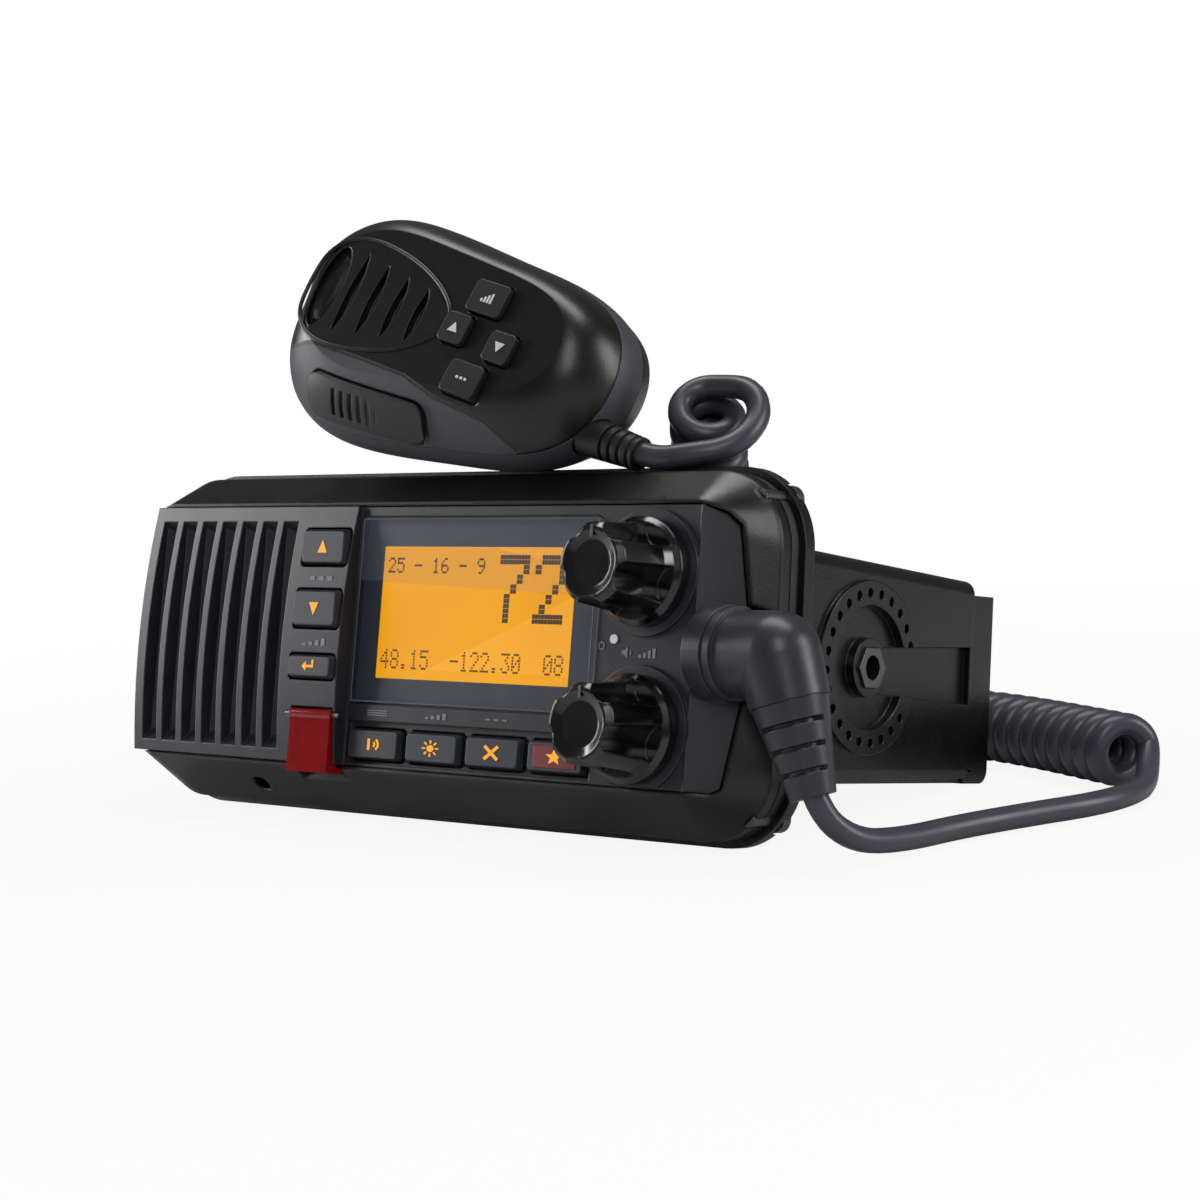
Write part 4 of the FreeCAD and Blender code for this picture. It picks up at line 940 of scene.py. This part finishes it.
@dataclass
class Keys:
    """Front keys, their lit signs and the plain marks beside them."""

    face: Face
    rubber: Moulding = Moulding("key_rubber", (0.016, 0.019, 0.028), (0.021, 0.025, 0.036), 0.42, 1800.0)
    amber: Glow = Glow("amber_legend", (0.95, 0.36, 0.0), (1.0, 0.42, 0.01), 0.95, (0.0, 0.0, 0.0))
    red: Moulding = Moulding("red_pad", (0.16, 0.006, 0.006), (0.2, 0.01, 0.008), 0.45)
    grey: Moulding = Moulding("grey_print", (0.16, 0.165, 0.19), (0.2, 0.205, 0.23), 0.5, edge=0.0)
    column: float = -26.1
    column_proud: float = 1.12
    column_keys: tuple = (("up_key", Sign.UP, 45.7), ("down_key", Sign.DOWN, 32.5),
                          ("enter_key", Sign.RETURN, 20.2))
    column_sign: tuple = (3.4, 3.6)
    row: float = 4.75
    row_first: float = -9.6
    row_pitch: float = 16.7
    row_top: float = 0.92
    row_keys: tuple = (Sign.WAVE, Sign.SUN, Sign.CROSS, Sign.STAR)
    row_marks: tuple = (Sign.LINES, Sign.BARS, Sign.DOTS, Sign.RING)
    row_sign: tuple = (4.6, 3.4)
    row_mark: tuple = (11.35, 0.0, 6.4, 1.6)
    pad: tuple = (-5.6, 5.6, -2.2, 2.2)
    pad_thick: float = 0.06
    knob_marks: tuple = ((Sign.SPEAKER, 56.4, 25.9, 0.0, 3.2, 2.7), (Sign.BARS, 61.2, 25.9, 0.0, 4.6, 2.4),
                         (Sign.GATE, 56.4, 21.4, 0.0, 3.6, 2.5), (Sign.BARS, 61.2, 21.4, 0.0, 4.6, 2.4),
                         (Sign.RING, 49.8, 27.0, 0.0, 2.0, 2.0))

    def side_column(self) -> None:
        """Dress the three keys beside the grille."""
        rubber, amber = self.rubber.material(), self.amber.material()
        for name, sign, up in self.column_keys:
            dress(rubber, name)
            top = self.face.bow(up) + self.column_proud
            legend = Legend(sign, self.column, up, top, *self.column_sign)
            draw_legends(name + "_sign", [legend], self.face, amber, name + "_body")
        marks = [Legend(Sign.DOTS, self.column, 39.0, self.face.bow(39.0), 7.5, 4.6),
                 Legend(Sign.BARS, self.column, 25.4, self.face.bow(25.4), 7.5, 1.9)]
        draw_legends("side_marks", marks, self.face, self.grey.material(), "radio")

    def bottom_row(self) -> None:
        """Dress the four keys under the window and the signs over them."""
        rubber, amber = self.rubber.material(), self.amber.material()
        places = [self.row_first + self.row_pitch * k for k in range(len(self.row_keys))]
        for index, (x, sign) in enumerate(zip(places, self.row_keys), 1):
            name = "row_key_%d" % index
            dress(rubber, name)
            legend = Legend(sign, x, self.row, self.row_top, *self.row_sign)
            draw_legends(name + "_sign", [legend], self.face, amber, name + "_body")
        vertices, faces = [], []
        matrix = self.face.matrix(places[-1], self.row, self.row_top)
        prism(bar(*self.pad), PRINT_FOOT, self.pad_thick, matrix, vertices, faces)
        mesh_piece("row_key_4_pad", vertices, faces, self.red.material(), "row_key_4_body")
        marks = [Legend(sign, x, *self.row_mark) for x, sign in zip(places, self.row_marks)]
        marks += [Legend(*mark) for mark in self.knob_marks]
        draw_legends("panel_marks", marks, self.face, self.grey.material(), "radio")

    def build(self) -> None:
        """Dress both groups of keys."""
        self.side_column()
        self.bottom_row()


@dataclass
class Knobs:
    """Volume and squelch knobs with their index marks."""

    face: Face
    gloss: Moulding = Moulding("knob_gloss", (0.0022, 0.0022, 0.0026), (0.0032, 0.0032, 0.0038), 0.16,
                               1500.0, 0.00002, 0.08, 0.0007, 0.4)
    mark: Moulding = Moulding("knob_mark", (0.05, 0.05, 0.055), (0.07, 0.07, 0.075), 0.45, edge=0.0)
    shaft: Metal = Metal("plated_shaft", (0.55, 0.55, 0.57))
    control: Moulding = Moulding("control_body", (0.03, 0.03, 0.035), (0.05, 0.05, 0.06))
    places: tuple = (("volume", FACE_KNOB_UP), ("squelch", 11.2))
    line: tuple = (-0.35, 0.35, 4.9, 7.2)
    line_low: float = 17.9
    line_high: float = 18.08

    def build(self) -> None:
        """Dress both knobs and lay a line on one lobe of each."""
        dress(self.gloss.material(), "volume_knob", "squelch_knob")
        dress(self.shaft.material(), "volume_shaft", "squelch_shaft")
        dress(self.control.material(), "volume_control", "squelch_control")
        mark = self.mark.material()
        for name, up in self.places:
            vertices, faces = [], []
            matrix = self.face.matrix(FACE_KNOB_X, up, 0)
            prism(bar(*self.line), self.line_low, self.line_high, matrix, vertices, faces)
            mesh_piece(name + "_index_line", vertices, faces, mark, name + "_dial")


@dataclass
class Casing:
    """Bezel, panel, gasket, case, the parts inside and the fittings on the back."""

    finishes: tuple = (
        (Moulding("bezel_black", (0.0022, 0.0022, 0.0027), (0.0034, 0.0034, 0.004), 0.3, 2300.0,
                  strength=0.3, edge=0.0012), "front_bezel"),
        (Moulding("panel_grey", (0.017, 0.0175, 0.0235), (0.022, 0.0225, 0.0295), 0.36, 2300.0),
         "front_panel"),
        (Moulding("gasket_rubber", (0.014, 0.014, 0.016), (0.02, 0.02, 0.023), 0.6, 1400.0),
         "rubber_gasket"),
        (Moulding("case_paint", (0.0016, 0.0016, 0.0018), (0.003, 0.003, 0.0034), 0.3, 1300.0, 0.00009,
                  0.5), "rear_case"),
        (Metal("dark_steel", (0.16, 0.16, 0.17), 0.35), "bracket_nuts", "case_screws",
         "distress_cover_pin"),
        (Metal("nickel_plate", (0.62, 0.61, 0.58), 0.25), "antenna_socket"),
        (Moulding("gland_rubber", (0.012, 0.012, 0.013), (0.02, 0.02, 0.022), 0.65), "power_lead_gland"),
        (Moulding("speaker_paper", (0.015, 0.015, 0.016), (0.03, 0.03, 0.032), 0.8, 900.0), "speaker"),
        (Moulding("silicone_mat", (0.06, 0.06, 0.065), (0.08, 0.08, 0.085), 0.6), "keypad_mat"),
        (Board("green_board"), "front_board", "main_board", "mic_board"),
        (Glazing("cover_red", (0.30, 0.002, 0.006), 0.72), "distress_cover"),
        (Moulding("distress_red", (0.55, 0.01, 0.015), (0.65, 0.02, 0.02), 0.5), "distress_button"),
        (Glow("lamp_pipe", (0.5, 0.52, 0.56), (0.75, 0.76, 0.8), 0.25, (0.5, 0.5, 0.5)), "power_lamp"),
    )

    def build(self) -> None:
        """Dress each part."""
        for finish, *nodes in self.finishes:
            dress(finish.material(), *nodes)


@dataclass
class Microphone:
    """Fist microphone's shells, keys, badge and the raised lip round its sound slots."""

    place: MicFace
    hard: tuple = (0.0024, 0.0024, 0.0028)
    hard_light: tuple = (0.0036, 0.0036, 0.0042)
    soft: tuple = (0.040, 0.041, 0.052)
    soft_light: tuple = (0.046, 0.047, 0.059)
    edge: float = 0.0006
    finishes: tuple = (
        (Moulding("talk_bar_rubber", (0.008, 0.008, 0.010), (0.012, 0.012, 0.015), 0.42, 1500.0,
                  edge=0.0006), "push_to_talk_bar"),
        (Moulding("mic_badge_gloss", (0.0015, 0.0015, 0.0025), (0.003, 0.003, 0.005), 0.22, edge=0.004),
         "mic_badge"),
        (Moulding("mic_relief_rubber", (0.004, 0.004, 0.0045), (0.007, 0.007, 0.008), 0.5),
         "mic_strain_relief"),
        (Metal("capsule_can", (0.5, 0.5, 0.5)), "mic_capsule"),
        (Moulding("mic_key_rubber", (0.012, 0.012, 0.014), (0.017, 0.017, 0.02), 0.4, 1500.0),
         "mic_upper_key", "mic_channel_up_key", "mic_channel_down_key", "mic_lower_key"),
    )
    print_white: Moulding = Moulding("mic_print", (0.55, 0.55, 0.55), (0.65, 0.65, 0.65), 0.5, edge=0.0)
    keys: tuple = (("mic_upper_key", 12.0, 9.5, Sign.BARS), ("mic_channel_up_key", 7.5, 1.5, Sign.UP),
                   ("mic_channel_down_key", 20.5, 0.5, Sign.DOWN), ("mic_lower_key", 15.5, -8.0, Sign.DOTS))
    key_top: float = 15.45
    key_sign: tuple = (3.2, 2.8)
    crown: float = 14.0
    lip_radius: float = 0.45
    lip: tuple = ((-36.0, 1.5), (-35.0, 10.0), (-27.0, 14.5), (-14.0, 13.5), (-3.0, 10.0), (4.0, 5.0),
                  (4.5, 0.5), (-3.0, -6.0), (-14.0, -9.6), (-27.0, -11.0), (-35.0, -7.0))
    grip_line: tuple = ((-43.0, -17.0), (-36.0, -13.0), (-27.0, -10.6), (-14.0, -10.6), (0.0, -10.8),
                        (9.0, -12.8), (22.0, -13.4), (28.0, -15.5), (32.0, -20.0), (34.0, -27.0),
                        (43.0, -30.0))

    def raised_lip(self, material: bpy.types.Material) -> None:
        """Run a low rounded lip round the badge and the sound slots.

        Args:
            material: Finish of the shell.
        """
        points = [self.place.point(x, y, self.crown) for x, y in self.lip]
        carrier = round_line("mic_lip_line", points, self.lip_radius * MM, sides=3, closed=True)
        mesh = plain_mesh(carrier)
        bpy.data.objects.remove(carrier)
        piece = smooth_piece("mic_field_lip", mesh, material)
        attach(piece, "microphone")
        LOG.info("piece %s", piece.name)

    def build(self) -> None:
        """Dress the microphone and print its key signs."""
        shell = Moulding("mic_black", self.hard, self.hard_light, 0.32, 2300.0, edge=self.edge).material()
        grip = Moulding("mic_soft_grey", self.soft, self.soft_light, 0.5, 1500.0, edge=self.edge).material()
        two_shot = TwoShot("mic_two_shot", self.hard, self.soft, self.grip_line, edge=self.edge)
        dress(two_shot.material(self.place), "mic_front_shell")
        dress(shell, "mic_back_shell")
        dress(grip, "mic_grip_band")
        self.raised_lip(shell)
        for finish, *nodes in self.finishes:
            dress(finish.material(), *nodes)
        white = self.print_white.material()
        for name, x, y, sign in self.keys:
            legend = Legend(sign, x, y, self.key_top, *self.key_sign)
            draw_legends(name + "_sign", [legend], self.place, white, name + "_body")


class CordLine:
    """Centreline of the cord: straight tails and helix turns on given routes."""

    @staticmethod
    def to_frame(points: tuple) -> list:
        """Return route points in the frame's metres."""
        return [Vector((x, y + ORIGIN_Y, z)) * MM for x, y, z in points]

    @staticmethod
    def line_points(points: list) -> list:
        """Trace a route.

        Args:
            points: Its control points in metres.

        Returns:
            Points that its smooth line runs through.
        """
        carrier = round_line("route", points, 0.0, 2 * LINE_STEPS)
        line = [v.co.copy() for v in plain_mesh(carrier).vertices]
        bpy.data.objects.remove(carrier)
        return line

    @classmethod
    def turns(cls, route: tuple, meet: Vector = None) -> list:
        """Return helix points round a coil's route.

        Args:
            route: The coil's own route in millimetres.
            meet: Point beside the route's start on whose side the turns begin.

        Returns:
            Points in metres, a fixed number for each turn.
        """
        line = cls.line_points(cls.to_frame(route))
        lengths = [0.0]
        for a, b in zip(line, line[1:]):
            lengths.append(lengths[-1] + (b - a).length)
        count = int(lengths[-1] / (TURN_PITCH * MM)) * TURN_POINTS
        radius = (COIL_R - CORD_R) * MM
        side = (line[1] - line[0]).cross(Vector((0, 0, 1))).normalized()
        if meet is not None:
            side = (meet - line[0]).normalized()
        points, index = [], 0
        for k in range(count + 1):
            place = lengths[-1] * k / count
            while index < len(line) - 2 and lengths[index + 1] < place:
                index += 1
            step = line[index + 1] - line[index]
            along = step.normalized()
            side = (side - along * side.dot(along)).normalized()
            up = side.cross(along)
            base = line[index] + along * (place - lengths[index])
            angle = 2 * math.pi * k / TURN_POINTS
            points.append(base + (side * math.cos(angle) + up * math.sin(angle)) * radius)
        return points


@dataclass
class Cord:
    """The curly cord in two pieces, with the plug that ends it."""

    jacket: Moulding = Moulding("cord_jacket", (0.038, 0.038, 0.052), (0.046, 0.046, 0.062), 0.36, 700.0,
                                0.00004, 0.25, 0.0)
    rubber: Moulding = Moulding("plug_rubber", (0.022, 0.022, 0.029), (0.028, 0.028, 0.036), 0.36, 1500.0)

    @staticmethod
    def length(points: list) -> float:
        """Return the length of a line of points."""
        return sum((b - a).length for a, b in zip(points, points[1:]))

    def tube(self, name: str, points: list, material: bpy.types.Material) -> tuple:
        """Make the cord's mesh tube on a smooth line.

        Args:
            name: Name of the piece.
            points: Control points in metres.
            material: Its finish.

        Returns:
            The piece and the points of its line.
        """
        carrier = round_line(name + "_line", points, CORD_R * MM)
        mesh = plain_mesh(carrier)
        carrier.data.bevel_depth = 0.0
        carrier.data.use_fill_caps = False
        bpy.context.view_layer.update()
        line = [v.co.copy() for v in plain_mesh(carrier).vertices]
        bpy.data.objects.remove(carrier)
        LOG.info("cord %s: %.3f m", name, self.length(line))
        return smooth_piece(name, mesh, material), line

    def build(self) -> None:
        """Make the floor piece on the radio and the piece that runs to the microphone."""
        jacket = self.jacket.material()
        tail = CordLine.to_frame(FLOOR_TAIL)
        lower = CordLine.turns(LOWER_COIL)
        floor, line = self.tube("curly_cord_floor", tail + lower, jacket)
        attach(floor, "radio")
        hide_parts("cord_floor_tail", "cord_lower_coil")
        upper = CordLine.turns(UPPER_COIL, lower[-1]) + CordLine.to_frame(MIC_TAIL)[::-1][1:]
        stretch, line = self.tube("curly_cord_mic", upper, jacket)
        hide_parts("cord_upper_coil", "cord_mic_tail")
        start, end = CordLine.to_frame((MIC_TAIL[1], UPPER_COIL[1]))
        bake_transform(stretch)
        dress(self.rubber.material(), "microphone_plug", "plug_strain_relief")


@dataclass(frozen=True)
class Lamp:
    """Soft rectangular lamp that looks at the radio."""

    name: str
    place: tuple
    size: tuple
    power: float
    target: tuple = (0.0, 0.0, 0.05)

    def hang(self) -> None:
        """Add the lamp to the scene."""
        data = bpy.data.lights.new(self.name, "AREA")
        data.shape = "RECTANGLE"
        data.size, data.size_y = self.size
        data.energy = self.power
        lamp = add_object(self.name, data)
        lamp.location = self.place
        aim = Vector(self.target) - Vector(self.place)
        lamp.rotation_euler = aim.to_track_quat("-Z", "Y").to_euler()


@dataclass
class Studio:
    """Pale floor, soft light and the camera at the photograph's place."""

    eye: tuple = (0.3805, -0.43192, 0.09929)
    turn: tuple = (84.4, 3.461, 39.823)
    lens: float = 79.7
    sensor: float = 36.0
    floor_side: float = 3.0
    floor_top: float = -0.0002
    floor_dark: tuple = (0.60, 0.60, 0.60)
    floor_light: tuple = (0.63, 0.63, 0.63)
    fade_from: float = 0.12
    fade_to: float = 0.5
    fade_least: float = 0.9
    ambient: float = 0.13
    lamps: tuple = (Lamp("key", (-1.0, -0.45, 0.35), (0.35, 0.6), 7.0),
                    Lamp("front", (0.75, -0.8, 0.7), (0.3, 0.7), 4.0),
                    Lamp("top", (0.0, 0.1, 0.9), (0.9, 0.3), 5.0),
                    Lamp("rim", (0.85, 0.35, 0.35), (0.3, 0.5), 3.5))

    def build(self) -> None:
        """Set the stage."""
        self.floor()
        self.world()
        for lamp in self.lamps:
            lamp.hang()
        data = bpy.data.cameras.new("camera")
        data.lens = self.lens
        data.sensor_width = self.sensor
        camera = add_object("camera", data)
        camera.location = self.eye
        camera.rotation_euler = [math.radians(a) for a in self.turn]
        bpy.context.scene.camera = camera
        bpy.context.scene.view_settings.view_transform = "Standard"

    def floor_finish(self) -> bpy.types.Material:
        """Build a pale matt finish that the camera sees fade to white away from the radio.

        Returns:
            Its material.
        """
        graph = Graph("pale_floor")
        fine = graph.tint(graph.noise(4.0), self.floor_dark, self.floor_light)
        shader = graph.node("BsdfPrincipled", Base_Color=fine, Roughness=0.75)
        white = graph.node("Emission", Strength=1.0)
        far = graph.node("VectorMath", operation="LENGTH")
        graph.feed(far.inputs[0], graph.coords())
        fade = graph.node("MapRange", Value=far.outputs["Value"], From_Min=self.fade_from,
                          From_Max=self.fade_to, To_Min=self.fade_least, To_Max=1.0)
        seen = graph.node("LightPath").outputs["Is Camera Ray"]
        mix = graph.node("MixShader")
        graph.feed(mix.inputs[0], graph.math("MULTIPLY", fade.outputs["Result"], seen))
        graph.feed(mix.inputs[1], shader.outputs[0])
        graph.feed(mix.inputs[2], white.outputs[0])
        return graph.finish(mix)

    def floor(self) -> None:
        """Lay the floor just under the radio."""
        mesh = bpy.data.meshes.new("floor")
        side, low = self.floor_side, self.floor_top
        mesh.from_pydata([(-side, -side, low), (side, -side, low), (side, side, low), (-side, side, low)],
                         [], [(0, 1, 2, 3)])
        mesh.materials.append(self.floor_finish())
        add_object("floor", mesh)

    def world(self) -> None:
        """Fill the room with a faint light that the camera sees as white."""
        world = bpy.data.worlds.new("studio")
        bpy.context.scene.world = world
        world.use_nodes = True
        tree = world.node_tree
        back = tree.nodes["Background"]
        back.inputs["Color"].default_value = (1, 1, 1, 1)
        path = tree.nodes.new("ShaderNodeLightPath")
        scale = tree.nodes.new("ShaderNodeMapRange")
        scale.inputs["To Min"].default_value = self.ambient
        scale.inputs["To Max"].default_value = 1.0
        tree.links.new(path.outputs["Is Camera Ray"], scale.inputs["Value"])
        tree.links.new(scale.outputs["Result"], back.inputs["Strength"])


def main() -> None:
    """Dress every sub-assembly in order."""
    logging.basicConfig(level=logging.INFO, format="%(message)s")
    face, mic, dots = Face(), MicFace(), DotTree()
    for part in (Studio(), Cord(), Casing(), Display(face, dots), Keys(face), Knobs(face), Microphone(mic)):
        part.build()
        LOG.info("built %s", type(part).__name__)


if __name__ == "__main__":
    main()
